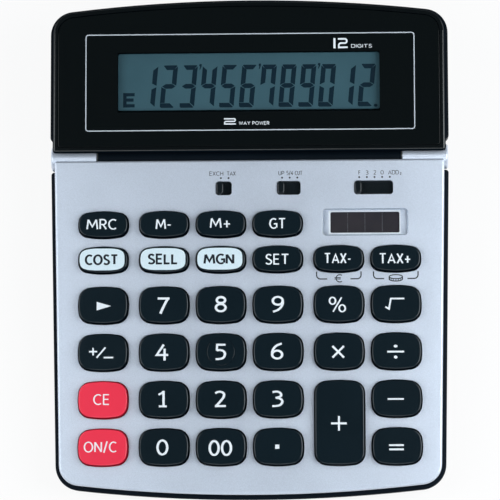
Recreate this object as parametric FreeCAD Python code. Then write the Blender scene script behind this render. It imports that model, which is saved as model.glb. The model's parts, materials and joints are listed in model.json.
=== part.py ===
import FreeCAD, Part
import math
import os

os.makedirs("parts", exist_ok=True)
Vector = FreeCAD.Vector

# A desk calculator with a wedge-shaped body and a display head that tilts up on a rear hinge.
# The body and head are drawn in the key deck's own directions: x across, v along the deck with 0 at
# the hinge axis and + towards the rear, w square to the deck with 0 on its surface. The finished
# pieces are then turned by the deck's slope and stand on the desk at z = 0.
# Lengths are in millimetres and angles in degrees.

# Stance on the desk
DECK_SLOPE = 7.0
FRONT_HEIGHT = 16.0
FOOT_HEIGHT = 1.5

# Key grid: six columns in three blocks, two rows of small keys above four rows of large ones
COLUMN_PITCH = 21.0
COLUMN_BLOCK_GAP = 1.5
FIRST_ROW = 25.5
SMALL_ROW_PITCH = 13.15
ROW_PITCH = 17.45
ROW_BLOCK_GAP = 1.5

# Key deck, the silver upper case
SIDE_MARGIN = 18.4
FRONT_MARGIN = 17.4
SIDE_TAPER = 1.0
DECK_REAR = 1.5
END_BOW_RADIUS = 570.0
DECK_CORNER = 7.5
DECK_THICKNESS = 2.0
DECK_EDGE = 0.7
SKIRT_DEPTH = 5.0
SKIRT_WALL = 2.0
BACK_WALL = 4.9

# Black lower case
RIM_WIDTH = 1.8
RIM_EDGE = 0.9
LOWER_WALL = 3.0
FLOOR_THICKNESS = 2.0
LOWER_REAR_CORNER = 1.1
FLOOR_EDGE = 1.5

# Hinge
AXIS_DROP = 5.4
KNUCKLE_RADIUS = 4.6
KNUCKLE_OVERHANG = 1.4
KNUCKLE_LENGTH = 16.9
KNUCKLE_EDGE = 0.7
BARREL_RADIUS = 4.2
HINGE_GAP = 0.6
BARREL_CLEARANCE = 0.4
PIN_RADIUS = 1.5
PIN_IN_KNUCKLE = 10.0
PIN_IN_BARREL = 8.0
PIN_FIT = 0.02
PIN_RUNNING_FIT = 0.05
PIN_END_GAP = 0.3
WASHER_RADIUS = 2.9
WASHER_PLAY = 0.1

# Display head, parallel to the deck when it lies flat
FACE_HEIGHT = 3.8
LIP_HEIGHT = 1.2
LIP_REAR = 1.3
HEAD_SPLIT = 1.2
HEAD_BOTTOM = 11.5
BEZEL_OVERHANG = 0.4
BEZEL_END = 57.7
BEZEL_CORNER = 8.0
BEZEL_LIP_CORNER = 1.0
BEZEL_EDGE = 0.9
BEZEL_RIM = 2.0
BEZEL_FLOOR = 1.2
COVER_OVERHANG = 1.3
COVER_START = 6.1
COVER_CORNER = 9.0
COVER_FRONT_CORNER = 1.5
COVER_TOP_EDGE = 0.8
COVER_BOTTOM_EDGE = 3.0
HEAD_WALL = 2.0
PANEL_THICKNESS = 1.5
PANEL_RECESS = 0.3
PANEL_CLEARANCE = 0.15
PANEL_EDGE = 0.2

# Liquid crystal display
LCD_SETBACK = 26.5
LCD_VIEW_WIDTH = 97.2
LCD_VIEW_DEPTH = 21.5
LCD_VIEW_CORNER = 0.8
LCD_GLASS_WIDTH = 106.0
LCD_GLASS_DEPTH = 28.0
LCD_LEDGE = 3.2
LCD_SHEET = 1.1
HOLDER_BORDER = 4.0
HOLDER_BAR = 7.0
HOLDER_THICKNESS = 1.6
HOLDER_POST_RADIUS = 1.4
HOLDER_POST_CLEARANCE = 0.1

# Keys
KEY_WIDTH = 18.3
KEY_DEPTH = 13.6
SMALL_KEY_DEPTH = 9.85
KEY_BOW = 1.05
TALL_KEY_SIDE_BOW = 0.1
KEY_CORNER = 4.3
SMALL_KEY_CORNER = 3.5
KEY_HEIGHT = 3.0
KEY_EDGE = 0.45
KEY_DRAFT = 0.12
KEY_DRAFT_START = 0.5
KEY_ROOF = 1.3
KEY_WALL = 1.2
KEY_FLANGE = 0.8
KEY_FLANGE_THICKNESS = 1.2
KEY_CLEARANCE = 0.35
KEY_REST_GAP = 0.2
KEY_TRAVEL = 1.6
HOME_DISC_RADIUS = 5.1
HOME_DISC_HEIGHT = 0.25
HOME_DISC_EDGE = 0.2
PLUNGER_RADIUS = 2.4

# Key mat and board
MAT_GAP = 0.1
DOME_SPARE = 2.0
DOME_BASE = 4.7
DOME_TOP = 3.0
MAT_SHEET = 1.0
MAT_MARGIN = 1.4
BOARD_THICKNESS = 1.6
BOARD_MARGIN = 0.8
BOARD_SIDE_MARGIN = 11.4
BOARD_FRONT_MARGIN = 9.7
BOARD_CORNER = 4.0
POST_RADIUS = 1.9
POST_CLEARANCE = 0.3
CHIP_RADIUS = 7.0
CHIP_HEIGHT = 1.8

# Slide switches, as x of the slot centre and number of positions
SWITCHES = {"slider_mode": (-9.43, 2), "slider_round": (14.67, 3), "slider_decimal": (46.07, 5)}
SWITCH_V = -12.0
SWITCH_STEP = 2.83
SLOT_DEPTH = 5.2
SLOT_CORNER = 1.2
KNOB_LENGTH = 2.75
KNOB_CORNER = 1.3
KNOB_HEIGHT = 1.0
KNOB_EDGE = 0.6
KNOB_CLEARANCE = 0.2
SHUTTER_OVERLAP = 0.6
SHUTTER_THICKNESS = 1.0
SHUTTER_GAP = 0.2
ACTUATOR = 1.6
ACTUATOR_BITE = 0.7
SWITCH_BODY_HEIGHT = 3.6
SWITCH_BODY_DEPTH = 5.0
SWITCH_BODY_END = 2.0
SWITCH_BODY_CORNER = 0.6

# Solar panel
SOLAR_SHIFT = -0.7
SOLAR_RISE = 0.6
LENS_LENGTH = 31.8
LENS_DEPTH = 9.85
LENS_CORNER = 1.5
LENS_THICKNESS = 1.2
LENS_PROUD = 0.2
LENS_CLEARANCE = 0.12
LENS_EDGE = 0.3
CELL_LENGTH = 25.55
CELL_DEPTH = 7.8
CELL_BORDER = 1.4
CELL_CORNER = 0.6
CELL_THICKNESS = 1.1

# Screws
SCREW_RADIUS = 1.25
SCREW_CLEARANCE = 0.2
SCREW_HEAD_RADIUS = 2.4
SCREW_HEAD_HEIGHT = 1.3
SCREW_HEAD_CLEARANCE = 0.4
SCREW_LENGTH = 6.5
BOSS_RADIUS = 3.0
TUBE_RADIUS = 3.8
SEAT_THICKNESS = 1.8
CASE_JOINT = 11.5
CASE_SCREW_INSET = 5.6
FRONT_SCREW_INSET = 8.2
FRONT_SCREW_SHIFT = 2.3
HEAD_JOINT = 4.0
HEAD_SCREW_INSET = 8.8
FRONT_HEAD_SCREW_SETBACK = 6.8
REAR_HEAD_SCREW_SHIFT = 1.5
BOARD_SCREW_RADIUS = 0.9
BOARD_SCREW_HEAD = 1.8

# Battery well in the floor
BATTERY_X = -36.0
BATTERY_V = -44.0
DOOR_LENGTH = 30.0
DOOR_DEPTH = 18.0
DOOR_CORNER = 2.0
DOOR_CLEARANCE = 0.25
DOOR_LEDGE = 2.0
WELL_WALL = 1.6
CELL_RADIUS = 5.8
CELL_HEIGHT = 5.4
CELL_SHIFT = -5.6
CELL_PLAY = 0.1
CONTACT_THICKNESS = 0.3
CONTACT_WIDTH = 8.0
DOOR_PAD_RADIUS = 4.0
DOOR_PAD_HEIGHT = 0.4
DOOR_SCREW_SHIFT = 9.0

# Rubber feet
FOOT_RADIUS = 5.0
FOOT_SEAT = 0.8
FOOT_CLEARANCE = 0.1
FOOT_EDGE = 0.4
FOOT_SIDE_INSET = 15.5
FOOT_FRONT_INSET = 13.5
FOOT_REAR_V = -20.0

# Ribbon through the hinge
RIBBON_X = -34.0
RIBBON_WIDTH = 24.0
RIBBON_THICKNESS = 0.3
RIBBON_DROP = 1.2
RIBBON_SLOT = 2.0
RIBBON_SLOT_MARGIN = 1.0
RIBBON_TAIL = 6.0
RIBBON_RISE = 3.0

# Places that follow from the key grid
outer_column = 2.5 * COLUMN_PITCH + COLUMN_BLOCK_GAP
inner_column = 1.5 * COLUMN_PITCH
columns = (-outer_column, -inner_column, -COLUMN_PITCH / 2, COLUMN_PITCH / 2,
           inner_column + COLUMN_BLOCK_GAP, outer_column)
large_row = FIRST_ROW + SMALL_ROW_PITCH + (SMALL_ROW_PITCH + ROW_PITCH) / 2 + ROW_BLOCK_GAP
rows = [-FIRST_ROW, -FIRST_ROW - SMALL_ROW_PITCH]
rows += [-large_row - i * ROW_PITCH for i in range(4)]
deck_half_width = outer_column + SIDE_MARGIN
deck_front = FRONT_MARGIN - rows[5]
knuckle_outer = deck_half_width + KNUCKLE_OVERHANG
knuckle_inner = knuckle_outer - KNUCKLE_LENGTH
barrel_half_length = knuckle_inner - HINGE_GAP
bezel_half_width = deck_half_width + BEZEL_OVERHANG
cover_half_width = bezel_half_width + COVER_OVERHANG
cover_end = BEZEL_END + COVER_OVERHANG
lcd_v = LIP_REAR + LCD_SETBACK
solar_x = (columns[4] + columns[5]) / 2 + SOLAR_SHIFT
solar_v = rows[0] + SOLAR_RISE
board_half_width = deck_half_width - BOARD_SIDE_MARGIN
board_front = deck_front - BOARD_FRONT_MARGIN
case_screw_x = deck_half_width - CASE_SCREW_INSET
case_screw_places = (
    (case_screw_x, (rows[0] + rows[1]) / 2),
    (case_screw_x, (rows[2] + rows[3]) / 2),
    (case_screw_x - FRONT_SCREW_SHIFT, -deck_front + FRONT_SCREW_INSET),
)
head_screw_x = bezel_half_width - HEAD_SCREW_INSET
head_screw_places = (
    (head_screw_x, COVER_START + FRONT_HEAD_SCREW_SETBACK),
    (head_screw_x - REAR_HEAD_SCREW_SHIFT, BEZEL_END - HEAD_SCREW_INSET),
)
foot_x = deck_half_width - FOOT_SIDE_INSET
foot_places = ((foot_x, -deck_front + FOOT_FRONT_INSET), (foot_x, FOOT_REAR_V))

# Levels that follow from the sizes above, measured square to the deck
deck_underside = -DECK_THICKNESS
flange_top = deck_underside - KEY_REST_GAP
flange_bottom = flange_top - KEY_FLANGE_THICKNESS
plunger_bottom = flange_bottom - KEY_REST_GAP
dome_top = plunger_bottom - MAT_GAP
dome_height = KEY_TRAVEL + DOME_SPARE
mat_top = dome_top - dome_height
board_top = mat_top - MAT_SHEET
board_bottom = board_top - BOARD_THICKNESS
axis_w = -AXIS_DROP
panel_top = FACE_HEIGHT - PANEL_RECESS
panel_bottom = panel_top - PANEL_THICKNESS
bezel_floor = panel_bottom - BEZEL_FLOOR
glass_bottom = bezel_floor - 2 * LCD_SHEET
deck_rise = FRONT_HEIGHT + deck_front * math.sin(math.radians(DECK_SLOPE))


def box(x_low, x_high, v_low, v_high, w_low, w_high):
    """Block between two corners."""
    return Part.makeBox(x_high - x_low, v_high - v_low, w_high - w_low, Vector(x_low, v_low, w_low))


def post(x, v, radius, w_low, w_high):
    """Round post square to the deck."""
    return Part.makeCylinder(radius, w_high - w_low, Vector(x, v, w_low))


def along_x(radius, x_low, x_high):
    """Round bar on the hinge axis."""
    return Part.makeCylinder(radius, x_high - x_low, Vector(x_low, 0, axis_w), Vector(1, 0, 0))


def level_edges(shape, level):
    """Edges that lie in the plane at one height."""
    inside = []
    for edge in shape.Edges:
        bounds = edge.BoundBox
        if abs(bounds.ZMin - level) < 1e-3 and abs(bounds.ZMax - level) < 1e-3:
            inside.append(edge)
    return inside


def upright_edges(shape):
    """Edges square to the deck."""
    return [edge for edge in shape.Edges if edge.BoundBox.XLength + edge.BoundBox.YLength < 1e-3]


def rounded_block(length, depth, corner, w_low, w_high, x=0.0, v=0.0):
    """Block with rounded upright corners, centred at x, v."""
    block = box(x - length / 2, x + length / 2, v - depth / 2, v + depth / 2, w_low, w_high)
    return block.makeFillet(corner, upright_edges(block))


def shield(half_width, flat_v, bowed_v, w_low, w_high, flat_corner, bowed_corner, taper=0.0):
    """Prism with a straight end at flat_v, an outward-bowed end at bowed_v and straight sides."""
    away = math.copysign(1.0, bowed_v - flat_v)
    lean = math.tan(math.radians(taper))
    flat_x = half_width - lean * abs(flat_v)
    end_x = half_width - lean * abs(bowed_v)
    sag = END_BOW_RADIUS - math.sqrt(END_BOW_RADIUS ** 2 - end_x ** 2)
    end_v = bowed_v - away * sag
    left_flat = Vector(-flat_x, flat_v, w_low)
    right_flat = Vector(flat_x, flat_v, w_low)
    right_end = Vector(end_x, end_v, w_low)
    left_end = Vector(-end_x, end_v, w_low)
    middle = Vector(0, bowed_v, w_low)
    outline = Part.Wire([
        Part.makeLine(left_flat, right_flat),
        Part.makeLine(right_flat, right_end),
        Part.Arc(right_end, middle, left_end).toShape(),
        Part.makeLine(left_end, left_flat),
    ])
    solid = Part.Face(outline).extrude(Vector(0, 0, w_high - w_low))
    middle_v = (flat_v + bowed_v) / 2
    flat_side = [edge for edge in upright_edges(solid) if away * (edge.CenterOfMass.y - middle_v) < 0]
    solid = solid.makeFillet(flat_corner, flat_side)
    bowed_side = [edge for edge in upright_edges(solid) if abs(edge.CenterOfMass.y - end_v) < 1e-3]
    return solid.makeFillet(bowed_corner, bowed_side)


def key_prism(form, grow, w_low, w_high):
    """Prism on a key's outline, four bowed sides with rounded corners, grown by a margin."""
    depth, corner, side_bow = form
    half_width = KEY_WIDTH / 2 + grow
    half_depth = depth / 2 + grow
    x = half_width - side_bow
    v = half_depth - KEY_BOW
    corners = [Vector(x, -v, w_low), Vector(x, v, w_low), Vector(-x, v, w_low), Vector(-x, -v, w_low)]
    middles = [
        Vector(half_width, 0, w_low),
        Vector(0, half_depth, w_low),
        Vector(-half_width, 0, w_low),
        Vector(0, -half_depth, w_low),
    ]
    sides = []
    for i in range(4):
        sides.append(Part.Arc(corners[i], middles[i], corners[(i + 1) % 4]).toShape())
    prism = Part.Face(Part.Wire(sides)).extrude(Vector(0, 0, w_high - w_low))
    return prism.makeFillet(corner + grow, upright_edges(prism))


def placed(shape, x, v):
    """Copy moved across the deck."""
    moved = shape.copy()
    moved.translate(Vector(x, v, 0))
    return moved


def on_desk(shape):
    """Copy turned by the deck's slope and raised so that the feet stand at z = 0."""
    turned = shape.copy()
    turned.rotate(Vector(0, 0, 0), Vector(1, 0, 0), DECK_SLOPE)
    turned.translate(Vector(0, 0, deck_rise))
    return turned


def both_sides(places):
    """Mirror-image pairs of places."""
    return [(side * x, v) for x, v in places for side in (-1, 1)]


# Keys by row, from the hinge to the front. The plus key takes two rows.
key_rows = (
    ("key_mrc", "key_m_minus", "key_m_plus", "key_gt"),
    ("key_cost", "key_sell", "key_mgn", "key_set", "key_tax_minus", "key_tax_plus"),
    ("key_shift", "key_7", "key_8", "key_9", "key_percent", "key_root"),
    ("key_sign", "key_4", "key_5", "key_6", "key_times", "key_divide"),
    ("key_ce", "key_1", "key_2", "key_3", "key_plus", "key_minus"),
    ("key_on", "key_0", "key_00", "key_point", None, "key_equals"),
)
tall_depth = rows[4] - rows[5] + KEY_DEPTH
tall_v = (rows[4] + rows[5]) / 2
large_form = (KEY_DEPTH, KEY_CORNER, KEY_BOW)
small_form = (SMALL_KEY_DEPTH, SMALL_KEY_CORNER, KEY_BOW)
tall_form = (tall_depth, KEY_CORNER, TALL_KEY_SIDE_BOW)
keys = {}
for row, names in enumerate(key_rows):
    for column, name in enumerate(names):
        if name is None:
            continue
        form = small_form if row < 2 else large_form
        keys[name] = (columns[column], rows[row], form)
keys["key_plus"] = (columns[4], tall_v, tall_form)


def rim(shape, level):
    """Outline of the flat face at one height."""
    return Part.Wire(Part.__sortEdges__(level_edges(shape, level)))


def key_cap(form):
    """Hollow cap with drafted sides, a retaining flange below the deck and a plunger over its dome."""
    foot = key_prism(form, 0, flange_bottom, KEY_DRAFT_START)
    narrowed = key_prism(form, -KEY_DRAFT, KEY_DRAFT_START, KEY_HEIGHT)
    crown = Part.makeLoft([rim(foot, KEY_DRAFT_START), rim(narrowed, KEY_HEIGHT)], True, True)
    crown = crown.makeFillet(KEY_EDGE, level_edges(crown, KEY_HEIGHT))
    cap = foot.fuse([crown, key_prism(form, KEY_FLANGE, flange_bottom, flange_top)])
    cap = cap.cut(key_prism(form, -KEY_WALL, flange_bottom, KEY_HEIGHT - KEY_ROOF))
    plunger = post(0, 0, PLUNGER_RADIUS, plunger_bottom, KEY_HEIGHT - KEY_ROOF / 2)
    return cap.fuse(plunger).removeSplitter()


parts = {}
key_holes = []
domes = []
caps = {form: key_cap(form) for form in (large_form, small_form, tall_form)}
home_top = KEY_HEIGHT + HOME_DISC_HEIGHT
for name, (x, v, form) in keys.items():
    cap = caps[form]
    if name == "key_5":
        disc = post(0, 0, HOME_DISC_RADIUS, KEY_HEIGHT - KEY_ROOF / 2, home_top)
        disc = disc.makeFillet(HOME_DISC_EDGE, level_edges(disc, home_top))
        cap = cap.fuse(disc).removeSplitter()
    parts[name] = placed(cap, x, v)
    hole = key_prism(form, KEY_CLEARANCE, deck_underside, KEY_HEIGHT)
    key_holes.append(placed(hole, x, v))
    domes.append(Part.makeCone(DOME_BASE, DOME_TOP, dome_height, Vector(x, v, mat_top)))

# Slide switches: a knob in a slot, on a shutter that keeps the slot covered, above the switch body
switch_slots = []
switch_bodies = []
for name, (slot_x, positions) in SWITCHES.items():
    travel = (positions - 1) * SWITCH_STEP
    slot_length = KNOB_LENGTH + 2 * KNOB_CLEARANCE + travel
    slot = rounded_block(slot_length, SLOT_DEPTH, SLOT_CORNER, deck_underside, KNOB_HEIGHT,
                         slot_x, SWITCH_V)
    switch_slots.append(slot)
    rest_x = slot_x - travel / 2
    shutter_top = deck_underside - SHUTTER_GAP
    shutter_bottom = shutter_top - SHUTTER_THICKNESS
    shutter_length = slot_length + travel + 2 * SHUTTER_OVERLAP
    shutter_depth = SLOT_DEPTH + 2 * SHUTTER_OVERLAP
    shutter = rounded_block(shutter_length, shutter_depth, SLOT_CORNER, shutter_bottom, shutter_top,
                            rest_x, SWITCH_V)
    knob_depth = SLOT_DEPTH - 2 * KNOB_CLEARANCE
    knob = rounded_block(KNOB_LENGTH, knob_depth, KNOB_CORNER, shutter_bottom, KNOB_HEIGHT,
                         rest_x, SWITCH_V)
    knob = knob.makeFillet(KNOB_EDGE, level_edges(knob, KNOB_HEIGHT))
    body_top = board_top + SWITCH_BODY_HEIGHT
    actuator_bottom = body_top - ACTUATOR_BITE
    actuator = rounded_block(ACTUATOR, ACTUATOR, ACTUATOR / 4, actuator_bottom, shutter_top,
                             rest_x, SWITCH_V)
    parts[name] = knob.fuse([shutter, actuator]).removeSplitter()
    groove_length = travel + ACTUATOR + 2 * KNOB_CLEARANCE
    groove_depth = ACTUATOR + 2 * KNOB_CLEARANCE
    groove = rounded_block(groove_length, groove_depth, ACTUATOR / 4, actuator_bottom - KNOB_CLEARANCE,
                           body_top, slot_x, SWITCH_V)
    body = rounded_block(groove_length + 2 * SWITCH_BODY_END, SWITCH_BODY_DEPTH, SWITCH_BODY_CORNER,
                         board_top, body_top, slot_x, SWITCH_V)
    switch_bodies.append(body.cut(groove))
parts["switch_bodies"] = Part.makeCompound(switch_bodies)

# Solar cell under a clear lens that is let into the deck
lens_bottom = LENS_PROUD - LENS_THICKNESS
lens = rounded_block(LENS_LENGTH, LENS_DEPTH, LENS_CORNER, lens_bottom, LENS_PROUD, solar_x, solar_v)
parts["solar_window"] = lens.makeFillet(LENS_EDGE, level_edges(lens, LENS_PROUD))
lens_recess = rounded_block(LENS_LENGTH + 2 * LENS_CLEARANCE, LENS_DEPTH + 2 * LENS_CLEARANCE,
                            LENS_CORNER + LENS_CLEARANCE, lens_bottom, LENS_PROUD, solar_x, solar_v)
cell_opening = rounded_block(CELL_LENGTH, CELL_DEPTH, CELL_CORNER, deck_underside, lens_bottom,
                             solar_x, solar_v)
cell_bottom = deck_underside - CELL_THICKNESS
parts["solar_cell"] = box(
    solar_x - CELL_LENGTH / 2 - CELL_BORDER, solar_x + CELL_LENGTH / 2 + CELL_BORDER,
    solar_v - CELL_DEPTH / 2 - CELL_BORDER, solar_v + CELL_DEPTH / 2 + CELL_BORDER,
    cell_bottom, deck_underside)

# Places of the posts that carry the board, in the wide gaps between the key blocks
post_columns = ((columns[0] + columns[1]) / 2, (columns[3] + columns[4]) / 2)
upper_gap = (rows[1] - SMALL_KEY_DEPTH / 2 + rows[2] + KEY_DEPTH / 2) / 2
lower_gap = (rows[3] + rows[4]) / 2
board_posts = [(x, v) for x in post_columns for v in (upper_gap, lower_gap)]

# Upper case: bowed deck with a skirt, open at the rear under an eave that shades the hinge barrel
upper = shield(deck_half_width, -DECK_REAR, -deck_front, -SKIRT_DEPTH, 0,
               DECK_EDGE, DECK_CORNER, SIDE_TAPER)
upper = upper.makeFillet(DECK_EDGE, level_edges(upper, 0))
inner_half_width = deck_half_width - SKIRT_WALL
hollow_rear = BACK_WALL + SKIRT_WALL
hollow = shield(inner_half_width, -hollow_rear, -deck_front + SKIRT_WALL, -SKIRT_DEPTH, deck_underside,
                DECK_EDGE, DECK_CORNER - SKIRT_WALL, SIDE_TAPER)
under_eave = box(-deck_half_width, deck_half_width, -BACK_WALL, 0, -SKIRT_DEPTH, deck_underside)
barrel_room = along_x(BARREL_RADIUS + BARREL_CLEARANCE, -knuckle_inner, knuckle_inner)
upper = upper.cut([hollow, under_eave, barrel_room])
for x_low in (-knuckle_outer, knuckle_inner):
    knuckle = along_x(KNUCKLE_RADIUS, x_low, x_low + knuckle_outer - knuckle_inner)
    ends = [edge for edge in knuckle.Edges if abs(abs(edge.CenterOfMass.x) - knuckle_outer) < 1e-3]
    knuckle = knuckle.makeFillet(KNUCKLE_EDGE, ends)
    web_low = max(x_low, -inner_half_width)
    web_high = min(x_low + knuckle_outer - knuckle_inner, inner_half_width)
    web = box(web_low, web_high, -hollow_rear, -DECK_REAR, -SKIRT_DEPTH, deck_underside / 2)
    upper = upper.fuse([knuckle, web])
for x, v in both_sides(case_screw_places):
    upper = upper.fuse(post(x, v, BOSS_RADIUS, -CASE_JOINT, deck_underside / 2))
for x, v in board_posts:
    upper = upper.fuse(post(x, v, POST_RADIUS, board_top, deck_underside / 2))
hole_end = deck_underside - SKIRT_WALL
drilled = [post(x, v, SCREW_RADIUS, -CASE_JOINT, hole_end) for x, v in both_sides(case_screw_places)]
drilled += [post(x, v, BOARD_SCREW_RADIUS, board_top, hole_end) for x, v in board_posts]
pin_end = knuckle_inner + PIN_IN_KNUCKLE + PIN_END_GAP
drilled.append(along_x(PIN_RADIUS + PIN_FIT, knuckle_inner, pin_end))
drilled.append(along_x(PIN_RADIUS + PIN_FIT, -pin_end, -knuckle_inner))
upper = upper.cut(key_holes + switch_slots + [lens_recess, cell_opening] + drilled)
parts["upper_case"] = upper.removeSplitter()

# Key mat and board
mat_half_width = columns[5] + KEY_WIDTH / 2 - MAT_MARGIN
mat_rear = rows[0] + SMALL_KEY_DEPTH / 2 + MAT_MARGIN
mat_front = rows[5] - KEY_DEPTH / 2 + MAT_MARGIN
mat = rounded_block(2 * mat_half_width, mat_rear - mat_front, BOARD_CORNER, board_top, mat_top,
                    0, (mat_rear + mat_front) / 2)
mat = mat.fuse(domes)
mat = mat.cut([post(x, v, POST_RADIUS + POST_CLEARANCE, board_top, mat_top) for x, v in board_posts])
parts["key_mat"] = mat.removeSplitter()

board_rear = -BACK_WALL - LOWER_WALL - BOARD_MARGIN
board = rounded_block(2 * board_half_width, board_rear + board_front, BOARD_CORNER, board_bottom, board_top,
                      0, (board_rear - board_front) / 2)
screw_holes = []
board_screws = []
for x, v in board_posts:
    screw_holes.append(post(x, v, BOARD_SCREW_RADIUS + SCREW_CLEARANCE, board_bottom, board_top))
    shank = post(x, v, BOARD_SCREW_RADIUS, board_bottom, board_top + SCREW_LENGTH / 2)
    head = post(x, v, BOARD_SCREW_HEAD, board_bottom - SCREW_HEAD_HEIGHT, board_bottom)
    board_screws.append(shank.fuse(head).removeSplitter())
parts["main_board"] = board.cut(screw_holes)
parts["board_screws"] = Part.makeCompound(board_screws)

# Epoxy drop, a shallow spherical cap under the board
drop_radius = (CHIP_RADIUS ** 2 + CHIP_HEIGHT ** 2) / (2 * CHIP_HEIGHT)
drop = Part.makeSphere(drop_radius, Vector(0, upper_gap, board_bottom - CHIP_HEIGHT + drop_radius))
drop_room = box(-CHIP_RADIUS, CHIP_RADIUS, upper_gap - CHIP_RADIUS, upper_gap + CHIP_RADIUS,
                board_bottom - 2 * CHIP_HEIGHT, board_bottom)
parts["chip_cover"] = drop.common(drop_room)

# Hinge pins and washers
pins = []
washers = []
for side in (-1, 1):
    reach = sorted((side * (barrel_half_length - PIN_IN_BARREL), side * (knuckle_inner + PIN_IN_KNUCKLE)))
    pins.append(along_x(PIN_RADIUS, reach[0], reach[1]))
    faces = sorted((side * (barrel_half_length + WASHER_PLAY), side * (knuckle_inner - WASHER_PLAY)))
    ring = along_x(WASHER_RADIUS, faces[0], faces[1])
    washers.append(ring.cut(along_x(PIN_RADIUS + PIN_RUNNING_FIT, faces[0], faces[1])))
parts["hinge_pins"] = Part.makeCompound(pins)
parts["friction_washers"] = Part.makeCompound(washers)

# Display bezel: frame with a recess for the panel, a floor behind it and a lip over the hinge
bezel = shield(bezel_half_width, LIP_REAR, BEZEL_END, -HEAD_SPLIT, FACE_HEIGHT,
               BEZEL_LIP_CORNER, BEZEL_CORNER)
bezel = bezel.makeFillet(BEZEL_EDGE, level_edges(bezel, FACE_HEIGHT))
under_lip = box(-bezel_half_width, bezel_half_width, 0, COVER_START, -HEAD_SPLIT, LIP_HEIGHT)
panel_half_width = bezel_half_width - BEZEL_RIM
panel_start = LIP_REAR + BEZEL_RIM
panel_end = BEZEL_END - BEZEL_RIM
panel_corner = BEZEL_CORNER - BEZEL_RIM
panel = shield(panel_half_width, panel_start, panel_end, panel_bottom, panel_top,
               BEZEL_LIP_CORNER, panel_corner)
parts["display_window"] = panel.makeFillet(PANEL_EDGE, level_edges(panel, panel_top))
panel_room = shield(panel_half_width + PANEL_CLEARANCE, panel_start - PANEL_CLEARANCE,
                    panel_end + PANEL_CLEARANCE, panel_bottom, FACE_HEIGHT,
                    BEZEL_LIP_CORNER + PANEL_CLEARANCE, panel_corner + PANEL_CLEARANCE)
inner_start = COVER_START + HEAD_WALL
bezel_hollow = shield(bezel_half_width - HEAD_WALL, inner_start, BEZEL_END - HEAD_WALL,
                      -HEAD_SPLIT, bezel_floor, BEZEL_LIP_CORNER, BEZEL_CORNER - HEAD_WALL)
view_hole = rounded_block(LCD_VIEW_WIDTH, LCD_VIEW_DEPTH, LCD_VIEW_CORNER, bezel_floor, panel_bottom,
                          0, lcd_v)
bezel = bezel.cut([under_lip, panel_room, bezel_hollow, view_hole])
holder_length = LCD_GLASS_WIDTH + 2 * HOLDER_BORDER
holder_depth = LCD_GLASS_DEPTH + 2 * HOLDER_BORDER
holder_post_x = (holder_length - HOLDER_BORDER) / 2
holder_post_reach = (holder_depth - HOLDER_BORDER) / 2
holder_posts = both_sides([(holder_post_x, lcd_v + side * holder_post_reach) for side in (1, -1)])
holder_bottom = glass_bottom - HOLDER_THICKNESS
for x, v in both_sides(head_screw_places):
    bezel = bezel.fuse(post(x, v, BOSS_RADIUS, -HEAD_JOINT, panel_bottom - BEZEL_FLOOR / 2))
for x, v in holder_posts:
    bezel = bezel.fuse(post(x, v, HOLDER_POST_RADIUS, holder_bottom, panel_bottom - BEZEL_FLOOR / 2))
head_pilots = [post(x, v, SCREW_RADIUS, -HEAD_JOINT, bezel_floor) for x, v in both_sides(head_screw_places)]
bezel = bezel.cut(head_pilots)
parts["display_bezel"] = bezel.removeSplitter()

# Display glass: two sheets, the lower one with a contact ledge along its front, and its holder
glass_low = lcd_v - LCD_GLASS_DEPTH / 2
glass_high = lcd_v + LCD_GLASS_DEPTH / 2
sheet_level = bezel_floor - LCD_SHEET
front_sheet = box(-LCD_GLASS_WIDTH / 2, LCD_GLASS_WIDTH / 2, glass_low + LCD_LEDGE, glass_high,
                  sheet_level, bezel_floor)
back_sheet = box(-LCD_GLASS_WIDTH / 2, LCD_GLASS_WIDTH / 2, glass_low, glass_high, glass_bottom, sheet_level)
parts["lcd_panel"] = front_sheet.fuse(back_sheet).removeSplitter()
holder = rounded_block(holder_length, holder_depth, HOLDER_BORDER / 2, holder_bottom, glass_bottom, 0, lcd_v)
window = rounded_block(LCD_GLASS_WIDTH - 2 * HOLDER_BAR, LCD_GLASS_DEPTH - 2 * HOLDER_BAR, HOLDER_BORDER / 2,
                       holder_bottom, glass_bottom, 0, lcd_v)
post_holes = [post(x, v, HOLDER_POST_RADIUS + HOLDER_POST_CLEARANCE, holder_bottom, glass_bottom)
              for x, v in holder_posts]
parts["lcd_holder"] = holder.cut([window] + post_holes)

# Display rear cover: rounded shell with the hinge barrel along its front
cover = shield(cover_half_width, COVER_START, cover_end, -HEAD_BOTTOM, -HEAD_SPLIT,
               COVER_FRONT_CORNER, COVER_CORNER)
cover = cover.makeFillet(COVER_TOP_EDGE, level_edges(cover, -HEAD_SPLIT))
rear_edges = [edge for edge in level_edges(cover, -HEAD_BOTTOM) if edge.BoundBox.YMax > inner_start]
cover = cover.makeFillet(COVER_BOTTOM_EDGE, rear_edges)
cover_hollow = shield(bezel_half_width - HEAD_WALL, inner_start, BEZEL_END - HEAD_WALL,
                      -HEAD_BOTTOM + HEAD_WALL, -HEAD_SPLIT, BEZEL_LIP_CORNER, BEZEL_CORNER - HEAD_WALL)
cover = cover.cut(cover_hollow)
barrel = along_x(BARREL_RADIUS, -barrel_half_length, barrel_half_length)
arm = box(-barrel_half_length, barrel_half_length, 0, inner_start,
          axis_w - BARREL_RADIUS, axis_w + BARREL_RADIUS / 2)
cover = cover.fuse([barrel, arm])
barrel_end = barrel_half_length - PIN_IN_BARREL - PIN_END_GAP
bores = [
    along_x(PIN_RADIUS + PIN_RUNNING_FIT, barrel_end, barrel_half_length),
    along_x(PIN_RADIUS + PIN_RUNNING_FIT, -barrel_half_length, -barrel_end),
]
ribbon_w = axis_w - RIBBON_DROP
slot_left = RIBBON_X - RIBBON_WIDTH / 2 - RIBBON_SLOT_MARGIN
slot_right = RIBBON_X + RIBBON_WIDTH / 2 + RIBBON_SLOT_MARGIN
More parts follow.
